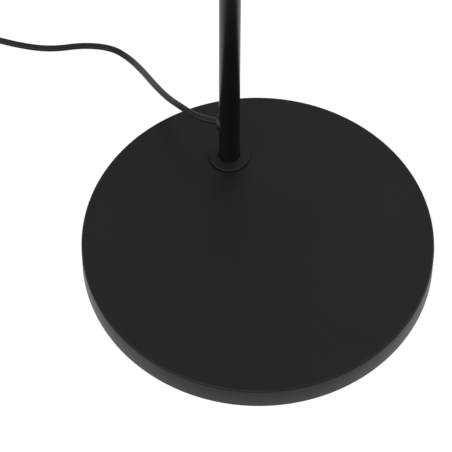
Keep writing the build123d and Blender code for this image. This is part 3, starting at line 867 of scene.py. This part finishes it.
class LAMP_OT_neck(bpy.types.Operator):
    """Model the neck's socket and the gooseneck's links, each a length of its winding"""

    bl_idname = "lamp.neck"
    bl_label = "Neck"

    def execute(self, context):
        sizes = context.scene.lamp_sizes
        self.make_socket(sizes)
        straight = self.wind(sizes)
        self.make_ends(sizes, straight)
        self.make_links(sizes, straight)
        return {"FINISHED"}

    def make_socket(self, sizes):
        low, top = heights("neck_socket")
        foot_low = heights("pole_upper")[1] + sizes.turn_gap
        shoulder = foot_low + sizes.socket_foot
        foot, upper, edge = radius_of("neck_socket"), sizes.socket_diameter / 2, sizes.socket_edge
        spigot, way = sizes.spigot_diameter / 2, sizes.neck_bore / 2
        bore = sizes.neck_diameter / 2 + sizes.socket_clearance
        ease = 0.25 * MM
        outline = [
            (way, low),
            (spigot - ease, low),
            (spigot, low + ease),
            (spigot, foot_low),
            *arc((foot - ease, foot_low + ease), ease, -90, 0, 2),
            *arc((foot - edge, shoulder - edge), edge, 0, 90, 5),
            (upper + ease, shoulder),
            (upper, shoulder + ease),
            *arc((upper - edge, top - edge), edge, 0, 90, 5),
            (bore + ease, top),
            (bore, top - ease),
            (bore, top - sizes.neck_plug),
            (way, top - sizes.neck_plug),
        ]
        socket = turned("neck_cup", outline, axis_of("neck_socket"), hollow=True)
        mount(socket, "pole", NECK_ROOT, "black_enamel", "neck_socket")

    def wind(self, sizes):
        """A straight length of winding, centred on the origin: half an ellipse is screwed up Z."""
        length = link_length(sizes)
        pitch = length / sizes.neck_turns
        valley = sizes.neck_diameter / 2 - sizes.neck_groove
        winding = primitive(
            "circle",
            "winding",
            vertices=16,
            radius=1.0,
            location=(valley, 0, 0),
            rotation=(pi / 2, 0, 0),
        )
        apply_place(winding)
        pick_points(winding, lambda place: place.x < valley - MM)
        bpy.ops.object.mode_set(mode="EDIT")
        bpy.ops.mesh.delete(type="VERT")
        bpy.ops.mesh.select_all(action="SELECT")
        bpy.ops.transform.resize(
            value=(sizes.neck_groove, 1, pitch / 2), center_override=(valley, 0, 0)
        )
        leave_edit()
        spare = 2
        turns = sizes.neck_turns + spare
        apply_modifier(
            winding, "SCREW", screw_offset=pitch, iterations=turns, steps=40, render_steps=40
        )
        edit(winding)
        bpy.ops.transform.translate(value=UP * -turns * pitch / 2)
        leave_edit()
        close_seams(winding)
        self.trim(winding, -length / 2, length / 2)
        close_seams(winding)
        self.bore(sizes, winding, length)
        return winding

    def trim(self, piece, low, high):
        """Cuts a piece off flat at two heights and closes both ends."""
        for height, up in ((low, -1), (high, 1)):
            slice_off(piece, (0, 0, height), (0, 0, up))

    def bore(self, sizes, piece, length):
        """Bores a piece along Z; the tool has rings, so that the bore can bend."""
        rings = sizes.neck_turns
        reach = length / 2 + MM
        outline = [(sizes.neck_bore / 2, -reach + 2 * reach * k / rings) for k in range(rings + 1)]
        combine(piece, turned("bore_tool", outline, (0, 0), segments=24))

    def make_ends(self, sizes, straight):
        """The neck's straight ends, which sit in its two sockets."""
        half = link_length(sizes) / 2
        root = copy_of(straight, "neck_root_end")
        self.trim(root, half - sizes.neck_plug, half)
        root.matrix_world = bend_place(sizes, 0) @ Matrix.Translation((0, 0, -half))
        tip = copy_of(straight, "neck_tip_end")
        self.trim(tip, -half, sizes.neck_plug - half)
        tip.matrix_world = bend_place(sizes, pi) @ Matrix.Translation((0, 0, half))
        for piece, body in ((root, NECK_ROOT), (tip, HEAD)):
            mount(piece, "neck", body, "neck_coat", smooth=50)

    def make_links(self, sizes, straight):
        """A link of the winding for each body, from the root's half link to the head's."""
        step = pi / BENDS
        length = link_length(sizes)
        apply_modifier(
            straight, "SIMPLE_DEFORM", deform_method="BEND", deform_axis="X", angle=-step
        )
        middle = bend_place(sizes, 0).inverted()
        self.cut_cup(sizes, straight, middle @ bend_place(sizes, step / 2))
        self.make_ball(sizes, straight, middle @ bend_place(sizes, -step / 2))
        for k, body in enumerate(NECK_BODIES):
            link = copy_of(straight, f"neck_length_{k}")
            if k == 0:
                self.trim(link, 0, length)
            if k == BENDS:
                self.trim(link, -length, 0)
            link.matrix_world = bend_place(sizes, k * step)
            mount(link, "neck", body, "neck_coat", f"neck_link_{k}", smooth=50)
        bpy.data.objects.remove(straight)

    def ball_tool(self, name, radius, hinge):
        return primitive(
            "uv_sphere",
            name,
            segments=48,
            ring_count=24,
            radius=radius,
            location=hinge.translation,
        )

    def cut_cup(self, sizes, link, hinge):
        """Hollows a link's end for the next one's ball."""
        combine(link, self.ball_tool("cup", sizes.neck_ball / 2 + sizes.cup_gap, hinge))

    def side_gap(self, sizes, limit):
        """How far a link's face stands from its hinge for its rim to clear at a limit."""
        return (sizes.rim_gap + sizes.neck_diameter / 2 * sin(limit)) / cos(limit)

    def make_ball(self, sizes, link, hinge):
        """Slants a link's foot, with more room on the outside of the bend, and sets its ball."""
        wide = self.side_gap(sizes, sizes.neck_straighten)
        narrow = self.side_gap(sizes, sizes.neck_curl)
        slope = (wide - narrow) / sizes.neck_diameter
        slice_off(
            link,
            hinge @ (UP * (wide + narrow) / 2),
            hinge.to_3x3() @ Vector((0, slope, -1)).normalized(),
        )
        combine(link, self.ball_tool("ball", sizes.neck_ball / 2, hinge), "UNION")
        overrun = 1.4
        reach = UP * sizes.neck_ball / 2 * overrun
        start, end = hinge @ -reach, hinge @ reach
        combine(link, bar("ball_bore", sizes.neck_bore / 2, start, end, segments=24))


# ------------------------------------------------------------------ head


class LAMP_OT_head(bpy.types.Operator):
    """Model the ferrule, the nipple and the lampholder"""

    bl_idname = "lamp.head"
    bl_label = "Head fittings"

    def execute(self, context):
        sizes = context.scene.lamp_sizes
        self.make_ferrule(sizes)
        self.make_nipple(sizes)
        self.make_holder(sizes)
        return {"FINISHED"}

    def make_ferrule(self, sizes):
        low, top = heights("head_ferrule")
        outer, edge = radius_of("head_ferrule"), sizes.ferrule_edge
        bore = sizes.neck_diameter / 2 + sizes.socket_clearance
        thread = sizes.nipple_diameter / 2 + THREAD_CLEARANCE
        floor = top - sizes.neck_plug
        ease = 0.25 * MM
        outline = [
            (thread, low),
            (outer - ease, low),
            (outer, low + ease),
            *arc((outer - edge, top - edge), edge, 0, 90, 6),
            (bore + ease / 2, top),
            (bore, top - ease),
            (bore, floor),
            (thread, floor),
        ]
        ferrule = turned("ferrule_sleeve", outline, axis_of("head_ferrule"), hollow=True)
        mount(ferrule, "pole", HEAD, "black_enamel", "head_ferrule")

    def make_nipple(self, sizes):
        low, top = heights("head_nipple")
        outer, bore = sizes.nipple_diameter / 2, sizes.nipple_bore / 2
        pitch, depth = 1.0 * MM, 0.35 * MM
        crest_start, crest_end = 0.4 * pitch, 0.6 * pitch
        flank = []
        for k in range(int((top - low) / pitch)):
            foot = low + k * pitch
            flank += [(outer - depth, foot), (outer, foot + crest_start), (outer, foot + crest_end)]
        outline = [(bore, low), *flank, (outer - depth, top), (bore, top)]
        nipple = turned("nipple_thread", outline, axis_of("head_nipple"), segments=64, hollow=True)
        mount(nipple, "zinc", HEAD, "zinc_steel", "head_nipple")

    def make_holder(self, sizes):
        centre = axis_of("holder_cap")
        low, top = heights("holder_cap")
        narrow, wide, edge = sizes.holder_top / 2, radius_of("holder_cup"), sizes.holder_edge
        thread = sizes.nipple_diameter / 2 + THREAD_CLEARANCE
        cone = [
            (thread, low + MM),
            (thread, top),
            *arc((narrow - edge / 2, top - edge), edge, 90, 20, 5),
            (wide, low + edge),
            (wide, low),
        ]
        cap = turned("holder_cone", cone, centre)
        mount(cap, "holder", HEAD, "holder_black", "holder_cap")

        low, top = heights("holder_cup")
        bore, floor = sizes.holder_bore / 2, top - sizes.holder_floor
        groove, depth = 1.2 * MM, 0.5 * MM
        groove_low, groove_top = top - 3 * groove, top - 2 * groove
        sleeve = [
            (bore, floor),
            (bore, low),
            *arc((wide - edge, low + edge), edge, -90, 0, 5),
            (wide, groove_low),
            (wide - depth, groove_low + depth),
            (wide - depth, groove_top - depth),
            (wide, groove_top),
            (wide, top),
        ]
        cup = turned("holder_sleeve", sleeve, centre)
        mount(cup, "holder", HEAD, "holder_black", "holder_cup")


class LAMP_OT_shade(bpy.types.Operator):
    """Model the bell shade with its lip, its vents and its white lining"""

    bl_idname = "lamp.shade"
    bl_label = "Shade"

    def execute(self, context):
        sizes = context.scene.lamp_sizes
        centre = axis_of("shade")
        back = heights("shade")[1]
        lip = sizes.shade_lip / 2
        mouth = heights("shade")[0] + lip
        hole = radius_of("head_nipple") + HOLE_CLEARANCE
        outline = self.outline(sizes, back, mouth, hole)
        shade = turned("shade_bell", outline, centre, segments=192, hollow=True)
        self.cut_vents(sizes, shade, Vector((*centre, back - sizes.vent_offset)))
        switch = Vector((*axis_of("switch_nut"), back))
        reach = UP * 5 * MM
        opening = sizes.switch_thread / 2 + HOLE_CLEARANCE
        combine(shade, bar("switch_hole_tool", opening, switch - reach, switch + reach))
        mount(shade, "shade", HEAD, "shade_enamel", "shade", smooth=35)
        self.line_inside(shade, Vector((*centre, (back + mouth) / 2)), mouth + lip)
        return {"FINISHED"}

    def outline(self, sizes, back, mouth, hole):
        """Down the outside, round the lip's bead and up the inside."""
        wall, lip = sizes.shade_wall, sizes.shade_lip / 2
        bead = (sizes.shade_mouth / 2 - wall / 2, mouth)
        meet = sqrt(lip**2 - (wall / 2) ** 2)
        meet_angle = atan2(meet, wall / 2) * 180 / pi
        outside = [p for p in self.bell(sizes, back, mouth, 0) if p[1] > mouth + meet]
        inside = [p for p in self.bell(sizes, back, mouth, wall) if p[1] > mouth + meet]
        bead_line = arc(bead, lip, meet_angle, meet_angle - 360 + 2 * (90 - meet_angle), 14)
        return [(hole, back), *outside, *bead_line, *reversed(inside), (hole, back - wall)]

    def bell(self, sizes, back, mouth, inset):
        """The shade's section from its back to its mouth, or the space inside it with an inset."""
        corner = sizes.shade_corner - inset
        back_radius = sizes.shade_back / 2 - inset
        mouth_radius = sizes.shade_mouth / 2 - inset
        side_top = back - inset - corner
        turn = arc((back_radius - corner, side_top), corner, 90, 0, 10)
        belly = ((back_radius + mouth_radius) / 2 + sizes.shade_belly, (side_top + mouth) / 2)
        return turn + arc_through(turn[-1], belly, (mouth_radius, mouth), 28)[1:]

    def cut_vents(self, sizes, shade, middle):
        """A round-ended slot is cut through the side at each vent."""
        radius, reach = sizes.vent_width / 2, sizes.shade_mouth / 2
        stretch = sizes.vent_length / 2 - radius
        start, end = middle + Vector((reach / 3, 0, 0)), middle + Vector((reach, 0, 0))
        tool = bar("vent_tool", radius, start, end, segments=32)
        apply_place(tool)
        for side in (-1, 1):
            pick_points(tool, lambda place: (place.z - middle.z) * side > 0.01 * MM)
            bpy.ops.object.mode_set(mode="EDIT")
            bpy.ops.transform.translate(value=(0, 0, side * stretch))
            leave_edit()
        for k in range(sizes.vent_count):
            turn = Matrix.Rotation((k + 0.5) * 2 * pi / sizes.vent_count, 4, "Z")
            about_middle = Matrix.Translation(middle) @ turn @ Matrix.Translation(-middle)
            combine(shade, copy_of(tool, "vent_cut", about_middle))
        bpy.data.objects.remove(tool)

    def line_inside(self, shade, middle, above):
        """Gives the lining to the faces that look at the shade's inside."""
        shade.data.materials.append(FINISHES["lining"])
        for polygon in shade.data.polygons:
            inwards = polygon.normal.dot(polygon.center - middle) < 0
            polygon.material_index = int(inwards and polygon.center.z > above)


class LAMP_OT_bulb(bpy.types.Operator):
    """Model the bulb: its threaded cap, its neck and its globe"""

    bl_idname = "lamp.bulb"
    bl_label = "Bulb"

    def execute(self, context):
        sizes = context.scene.lamp_sizes
        centre = axis_of("bulb_globe")
        self.make_cap(sizes, centre)
        self.make_neck(sizes, centre)
        self.make_globe(centre)
        return {"FINISHED"}

    def make_cap(self, sizes, centre):
        """The screw cap: rounded threads between a plain skirt and an insulated tip."""
        low, top = heights("bulb_cap")
        radius, pitch, depth = sizes.bulb_cap / 2, 3.6 * MM, 0.8 * MM
        skirt, tip, ease = 3 * MM, 4.5 * MM, 0.2 * MM
        threads = int((top - low - skirt - tip) / pitch)
        outline = [(radius - ease, low), (radius - ease, low + skirt)]
        parts = 8
        for k in range(threads):
            foot = low + skirt + k * pitch
            for part in range(parts):
                swell = (1 - cos(2 * pi * part / parts)) / 2
                outline.append((radius - depth * (1 - swell), foot + pitch * part / parts))
        end = low + skirt + threads * pitch
        insulator, contact = radius * 0.8, radius * 0.42
        outline += [(radius - depth, end), (insulator, (end + top) / 2), (contact, top)]
        cap = turned("bulb_screw_cap", outline, centre)
        mount(cap, "nickel", HEAD, "bulb_metal", "bulb_cap", smooth=40)

    def make_neck(self, sizes, centre):
        """The body's flare from the cap to the globe, a little hollow."""
        low, top = heights("bulb_neck")
        cap, wide, hollow = sizes.bulb_cap / 2, sizes.bulb_neck / 2, 0.6 * MM
        middle = ((cap + wide) / 2 - hollow, (low + top) / 2)
        neck = turned("bulb_collar", arc_through((cap, top), middle, (wide, low), 10), centre)
        mount(neck, "bulb", HEAD, "bulb_white", "bulb_neck")

    def make_globe(self, centre):
        """The opal globe, from the neck round to one degree short of its lowest point."""
        low, top = heights("bulb_globe")
        radius = radius_of("bulb_globe")
        rise = top - low - radius
        start = atan2(rise, sqrt(radius**2 - rise**2)) * 180 / pi
        globe = turned("bulb_dome", arc((0, low + radius), radius, start, -89, 26), centre)
        mount(globe, "opal", HEAD, "bulb_opal", "bulb_globe")


class LAMP_OT_switch(bpy.types.Operator):
    """Model the push switch in the shade's back: body, ring nut and button"""

    bl_idname = "lamp.switch"
    bl_label = "Switch"

    def execute(self, context):
        sizes = context.scene.lamp_sizes
        centre = axis_of("switch_nut")
        self.make_body(sizes, centre)
        self.make_nut(sizes, centre)
        self.make_button(sizes, centre)
        return {"FINISHED"}

    def make_body(self, sizes, centre):
        low, top = heights("switch_body")
        inside = heights("shade")[1] - sizes.shade_wall
        outer, thread = radius_of("switch_body"), sizes.switch_thread / 2
        bore = radius_of("switch_button") + sizes.button_clearance
        room, edge = 3 * MM, 0.6 * MM
        bottom = heights("switch_button")[0] - room
        outline = [
            (bore, bottom),
            (bore, top),
            (thread, top),
            (thread, inside),
            (outer - edge, inside),
            (outer, inside - edge),
            *arc((outer - edge, low + edge), edge, 0, -90, 3),
        ]
        body = turned("switch_barrel", outline, centre, segments=64)
        mount(body, "switch", HEAD, "switch_black", "switch_body")

    def make_nut(self, sizes, centre):
        low, top = heights("switch_nut")
        outer, edge = radius_of("switch_nut"), sizes.socket_edge
        thread = sizes.switch_thread / 2 + THREAD_CLEARANCE
        ease = 0.2 * MM
        outline = [
            (thread, low),
            (outer, low),
            *arc((outer - edge, top - edge), edge, 0, 90, 5),
            (thread + ease, top),
            (thread, top - ease),
        ]
        nut = turned("switch_ring", outline, centre, segments=64, hollow=True)
        mount(nut, "brass", HEAD, "brass", "switch_nut")

    def make_button(self, sizes, centre):
        low, top = heights("switch_button")
        outer, edge = radius_of("switch_button"), sizes.button_edge
        ease, dish = 0.2 * MM, 0.25 * MM
        outline = [
            (outer - ease, low),
            (outer, low + ease),
            *arc((outer - edge, top - edge), edge, 0, 90, 5),
            (outer * 0.5, top - dish * 0.8),
            (outer * 0.1, top - dish),
        ]
        button = turned("switch_cap", outline, centre, segments=64)
        mount(button, "switch", BUTTON, "switch_black", "switch_button", smooth=40)


# ------------------------------------------------------------------ flex and plug

# The route's places and lengths are in millimetres, and its headings in degrees.
FREE_ROUTE = [
    (-34.0, 121.7, 67.5),
    (-40.9, 142.1, 56.0),
    (-45.9, 170.0, 40.5),
    (-48.9, 197.9, 24.0),
    (-54.2, 226.0, 8.5),
    (-65.2, 246.4, 2.0),
    (-88.8, 256.2, 2.0),
    (-118.3, 259.2, 2.0),
    (-143.2, 270.3, 2.0),
    (-168.3, 286.4, 2.0),
]
TAIL_ROUTE = [
    (-282.5, 222.5, 2.0),
    (-280.0, 198.5, 2.0),
    (-274.0, 175.5, 8.5),
]
EXIT_RUN = 16.0
COIL_RUN_IN = 26.0
COIL_RUN_OUT = 24.0
COIL_CENTRE = (-230.0, 260.0)
COIL_INNER_RADIUS = 24.6
COIL_PITCH = 6.6
COIL_HALF_TURNS = 6
COIL_ENTRY_HEADING = 165.0
COIL_STEP = 22.5
COIL_LOW, COIL_HIGH = 2.0, 6.0
PLUG_HEADING = 289.0
PLUG_RUN_IN = 20.0


def heading(degrees):
    return Vector((cos(radians(degrees)), sin(radians(degrees)), 0))


def coil_points():
    """The coil's start, control points and end, and the way it leaves: in below, out on top.

    Half turns of falling and then rising radius follow each other, each from its own centre.
    The half turn between them climbs to the upper layer, and the last one is a quarter turn."""
    falling = [COIL_INNER_RADIUS + k * COIL_PITCH / 2 for k in range(COIL_HALF_TURNS, 0, -1)]
    radii = [*falling, COIL_INNER_RADIUS, *reversed(falling[1:]), falling[0]]
    bearing = COIL_ENTRY_HEADING - 90
    centre = Vector((*COIL_CENTRE, 0))
    start = centre + UP * COIL_LOW + heading(bearing) * radii[0]
    points = []
    for k, radius in enumerate(radii):
        out_of_arc = radius / cos(radians(COIL_STEP / 2))
        steps = int((180 if k < len(radii) - 1 else 90) / COIL_STEP)
        for j in range(steps):
            turned_by = (j + 0.5) * COIL_STEP
            if k == COIL_HALF_TURNS:
                climb = (1 - cos(radians(turned_by))) / 2
            else:
                climb = float(k > COIL_HALF_TURNS)
            height = COIL_LOW + (COIL_HIGH - COIL_LOW) * climb
            points.append(centre + heading(bearing + turned_by) * out_of_arc + UP * height)
        bearing += steps * COIL_STEP
        if k + 1 < len(radii):
            centre += heading(bearing) * (radius - radii[k + 1])
    end = centre + heading(bearing) * radii[-1] + UP * COIL_HIGH
    return start, points, end, heading(bearing + 90)


def flex_route(sizes):
    """The flex's control points in metres, from the gland to where it enters the plug."""
    exit_point = gland_place(sizes, radius_of("pole_lower") + sizes.gland_proud) / MM
    coil_start, coil, coil_end, coil_end_way = coil_points()
    tail = [Vector(point) for point in TAIL_ROUTE]
    points = [
        exit_point,
        exit_point + gland_direction(sizes) * EXIT_RUN,
        *[Vector(point) for point in FREE_ROUTE],
        coil_start - heading(COIL_ENTRY_HEADING) * COIL_RUN_IN,
        *coil,
        coil_end + coil_end_way * COIL_RUN_OUT,
        *tail,
        tail[-1] + heading(PLUG_HEADING) * PLUG_RUN_IN,
    ]
    return [point * MM for point in points]


def smooth_line(points, resolution):
    """The points along one smooth spline with those control points."""
    curve = bpy.data.curves.new("route", "CURVE")
    curve.dimensions = "3D"
    curve.resolution_u = resolution
    spline = curve.splines.new("NURBS")
    spline.points.add(len(points) - 1)
    for control, point in zip(spline.points, points):
        control.co = (*point, 1)
    spline.order_u = 3
    spline.use_endpoint_u = True
    holder = bpy.data.objects.new("route", curve)
    bpy.context.collection.objects.link(holder)
    mesh = bpy.data.meshes.new_from_object(holder)
    line = [vertex.co.copy() for vertex in mesh.vertices]
    bpy.data.objects.remove(holder)
    bpy.data.meshes.remove(mesh)
    return line


def twin_section(sizes, steps=9):
    """The flat flex's outline: two round cores under one jacket, with a shallow valley."""
    core = sizes.cord_thickness / 2
    offset = sizes.cord_width / 2 - core
    valley = 0.80 * core
    right = arc((offset, 0), core, -112, 112, steps)
    left = arc((-offset, 0), core, 68, 292, steps)
    return [*right, (0, valley), *left, (0, -valley)]


def flex_tube(name, line, across, section):
    """A closed tube with one ring of the section at each point of a line."""
    vertices, faces = [], []
    ring = len(section)
    for k, point in enumerate(line):
        along = (line[min(k + 1, len(line) - 1)] - line[max(k - 1, 0)]).normalized()
        side = across(along)
        above = side.cross(along)
        vertices += [point + side * x + above * y for x, y in section]
        if k:
            first, second = (k - 1) * ring, k * ring
            for j in range(ring):
                following = (j + 1) % ring
                faces.append((first + j, first + following, second + following, second + j))
    last = (len(line) - 1) * ring
    faces += [tuple(range(ring)), tuple(range(last, last + ring))]
    mesh = bpy.data.meshes.new(name)
    mesh.from_pydata(vertices, [], faces)
    piece = bpy.data.objects.new(name, mesh)
    bpy.context.collection.objects.link(piece)
    close_seams(piece)
    return piece


class LAMP_OT_flex(bpy.types.Operator):
    """Model the plug, the flex from the gland to it, and the lead inside the pole"""

    bl_idname = "lamp.flex"
    bl_label = "Flex and plug"

    def execute(self, context):
        sizes = context.scene.lamp_sizes
        route = flex_route(sizes)
        body, blades = self.make_plug(sizes, route[-1])
        section = twin_section(sizes)
        line = smooth_line(route, resolution=8)
        flex = flex_tube("flex", line, lambda along: along.cross(UP).normalized(), section)
        mount(flex, "flex", STAND, "flex_black", "cord_free", "cord_coil", "cord_tail", smooth=60)
        self.make_lead(sizes, route[0], section)
        return {"FINISHED"}

    def make_lead(self, sizes, exit_point, section):
        """The same flex inside: through the gland, a bend, and up the middle of the pole."""
        out = gland_direction(sizes)
        corner = gland_place(sizes, 0)
        top = heights("pole_lead")[1]
        parts = 8
        rise = (top - corner.z) / parts
        straight = [corner + UP * rise * k for k in range(1, parts + 1)]
        bend = [corner + out * sizes.lead_bend, corner, corner + UP * sizes.lead_bend]
        line = smooth_line([exit_point, *bend, *straight], resolution=6)
        side = out.cross(UP)
        lead = flex_tube("lead_in_pole", line, lambda along: side, section)
        mount(lead, "flex", STAND, "flex_black", "pole_lead", smooth=60)

    def make_plug(self, sizes, entry):
        way = heading(PLUG_HEADING)
        side = way.cross(UP)
        place = Matrix((side, way.cross(side), way)).transposed().to_4x4()
        place.translation = entry
        body = self.make_body(sizes)
        body.matrix_world = place
        mount(body, "plug", STAND, "plug_black", "plug_body", smooth=35)
        blades = []
        for name, half in (("plug_blade_left", -0.5), ("plug_blade_right", 0.5)):
            blade = self.make_blade(sizes, name)
            blade.matrix_world = place @ Matrix.Translation((half * BLADE_SPACING, 0, 0))
            mount(blade, "nickel", STAND, "blade_nickel")
            blades.append(blade)
        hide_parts("plug_blades")
        return body, blades

    def make_body(self, sizes):
        """A rounded block drawn out along Z from its front, with grooves where it tapers."""
        width, thickness, length = 26, 17, 32
        rear_width, rear_thickness, waist = 12, 9, 16
        front_share, front_edge, shoulder = 0.94, 1, 1
        groove, grooves = 0.9, (5, 6, 8, 9, 11, 12)
        rings = [
            (length, width * front_share, thickness * front_share),
            (length - front_edge, width, thickness),
            (waist + shoulder, width, thickness),
        ]
        for k in range(waist):
            full = (waist - k) / waist
            cut = groove if k in grooves else 0
            wide = rear_width + (width - rear_width) * full - cut
            thick = rear_thickness + (thickness - rear_thickness) * full - cut
            rings.append((waist - k, wide, thick))
        rings.append((0, rear_width, rear_thickness))

        body = primitive("plane", "plug_moulding", size=MM)
        edit(body)
        bpy.ops.transform.resize(value=(width, thickness, 1), center_override=(0, 0, 0))
        bpy.ops.mesh.bevel(offset=sizes.plug_corner, segments=6, affect="VERTICES")
        bpy.ops.mesh.select_all(action="SELECT")
        height, wide, thick = 0, width, thickness
        for next_height, next_wide, next_thick in rings:
            if next_height != length:
                bpy.ops.mesh.extrude_region_move()
            bpy.ops.transform.translate(value=(0, 0, (next_height - height) * MM))
            ratios = (next_wide / wide, next_thick / thick, 1)
            bpy.ops.transform.resize(value=ratios, center_override=(0, 0, next_height * MM))
            height, wide, thick = next_height, next_wide, next_thick
        leave_edit()
        close_seams(body)
        return body

    def make_blade(self, sizes, name):
        """A flat blade with a chamfered tip and a round hole."""
        thickness, width = 1.5 * MM, 6.35 * MM
        start, end, hole_from_tip = 22 * MM, 49 * MM, 5.2 * MM
        blade = primitive("cube", name, size=1, location=(0, 0, (start + end) / 2))
        blade.scale = (thickness, width, end - start)
        apply_place(blade)
        round_edges(blade, 0.35 * MM, segments=2)
        hole = Vector((0, 0, end - hole_from_tip))
        reach = Vector((5 * MM, 0, 0))
        tool = bar("hole_tool", sizes.blade_hole / 2, hole - reach, hole + reach, segments=32)
        combine(blade, tool)
        return blade


# ------------------------------------------------------------------ stage


class LAMP_OT_stage(bpy.types.Operator):
    """Set up the floor, the room, the lights and the camera"""

    bl_idname = "lamp.stage"
    bl_label = "Stage"

    def execute(self, context):
        stage = context.scene.lamp_stage
        self.lay_floor(stage)
        self.light_room(context, stage)
        self.hang_lights(stage)
        self.set_camera(context, stage)
        context.scene.view_settings.view_transform = "Standard"
        return {"FINISHED"}

    def seen_rays(self, finish):
        """1 for rays from the camera, and for those mirrored or passed on to it."""
        camera = finish.node("ShaderNodeLightPath", output="Is Camera Ray")
        glossy = finish.node("ShaderNodeLightPath", output="Is Glossy Ray")
        passed = finish.node("ShaderNodeLightPath", output="Is Transmission Ray")
        return camera.math("MAXIMUM", camera, glossy.math("MAXIMUM", glossy, passed))

    def lay_floor(self, stage):
        floor = primitive("plane", "floor", size=stage.floor_size)
        finish = new_finish("floor_white")
        finish.coat(
            Base_Color=rgb((1, 1, 1), stage.floor_grey),
            Roughness=0.9,
            Specular_IOR_Level=0.0,
            Emission_Color=rgb((1, 1, 1)),
            Emission_Strength=self.seen_rays(finish) * stage.floor_lift,
        )
        floor.data.materials.append(finish.owner)

    def light_room(self, context, stage):
        """A bright room with a dim ceiling; the camera and mirrored rays see it white."""
        world = bpy.data.worlds.new("studio")
        context.scene.world = world
        finish = Finish(world)
        height = finish.node(
            "ShaderNodeSeparateXYZ",
            sockets={0: finish.node("ShaderNodeTexCoord", output="Generated")},
            output="Z",
        )
        fade = finish.ramp(height, (0.1, stage.wall_light), (0.65, stage.ceiling_light))
        seen = self.seen_rays(finish)
        background = finish.tree.nodes["Background"]
        finish.feed(background.inputs["Color"], rgb((1, 1, 1)))
        finish.feed(background.inputs["Strength"], fade * (1 - seen) + seen)

    def hang_lights(self, stage):
        """Two wide soft lights from far away, one from the left and one from the right."""
        lights = (
            ("key_light", stage.key_strength, (-1.6, -1.2, 2.2)),
            ("fill_light", stage.fill_strength, (2.0, -0.6, 2.0)),
        )
        for name, strength, place in lights:
            aim = -Vector(place)
            bpy.ops.object.light_add(
                type="SUN", location=place, rotation=aim.to_track_quat("-Z", "Y").to_euler()
            )
            light = bpy.context.object
            light.name = name
            light.data.energy = strength
            light.data.angle = stage.light_spread

    def set_camera(self, context, stage):
        bpy.ops.object.camera_add()
        camera = context.object
        camera.name = "photo_camera"
        camera.data.sensor_width = SENSOR_WIDTH
        camera.data.lens = stage.camera_lens
        camera.matrix_world = (
            Matrix.Translation(stage.camera_place)
            @ Matrix.Rotation(stage.camera_azimuth, 4, "Z")
            @ Matrix.Rotation(stage.camera_pitch, 4, "X")
            @ Matrix.Rotation(stage.camera_roll, 4, "Z")
        )
        context.scene.camera = camera


# ------------------------------------------------------------------ panel and registration


class LAMP_PT_panel(bpy.types.Panel):
    """The lamp's steps, sizes and colours in the 3D view's sidebar"""

    bl_label = "Floor Lamp"
    bl_space_type = "VIEW_3D"
    bl_region_type = "UI"
    bl_category = "Floor Lamp"

    def draw(self, context):
        steps = self.layout.column(align=True)
        for operator in OPERATORS:
            steps.operator(operator.bl_idname)
        for holder in ("lamp_sizes", "lamp_colours", "lamp_stage"):
            group = getattr(context.scene, holder)
            column = self.layout.column()
            for name in type(group).__annotations__:
                column.prop(group, name)


OPERATORS = [
    LAMP_OT_finishes,
    LAMP_OT_base,
    LAMP_OT_pole,
    LAMP_OT_gland,
    LAMP_OT_neck,
    LAMP_OT_head,
    LAMP_OT_shade,
    LAMP_OT_bulb,
    LAMP_OT_switch,
    LAMP_OT_flex,
    LAMP_OT_stage,
]
CLASSES = [LampSizes, LampColours, LampStage, *OPERATORS, LAMP_PT_panel]


def register():
    for cls in CLASSES:
        bpy.utils.register_class(cls)
    bpy.types.Scene.lamp_sizes = PointerProperty(type=LampSizes)
    bpy.types.Scene.lamp_colours = PointerProperty(type=LampColours)
    bpy.types.Scene.lamp_stage = PointerProperty(type=LampStage)


def unregister():
    del bpy.types.Scene.lamp_stage
    del bpy.types.Scene.lamp_colours
    del bpy.types.Scene.lamp_sizes
    for cls in reversed(CLASSES):
        bpy.utils.unregister_class(cls)


def main():
    register()
    bpy.ops.lamp.finishes()
    bpy.ops.lamp.base()
    bpy.ops.lamp.pole()
    bpy.ops.lamp.gland()
    bpy.ops.lamp.neck()
    bpy.ops.lamp.head()
    bpy.ops.lamp.shade()
    bpy.ops.lamp.bulb()
    bpy.ops.lamp.switch()
    bpy.ops.lamp.flex()
    bpy.ops.lamp.stage()


if __name__ == "__main__":
    main()
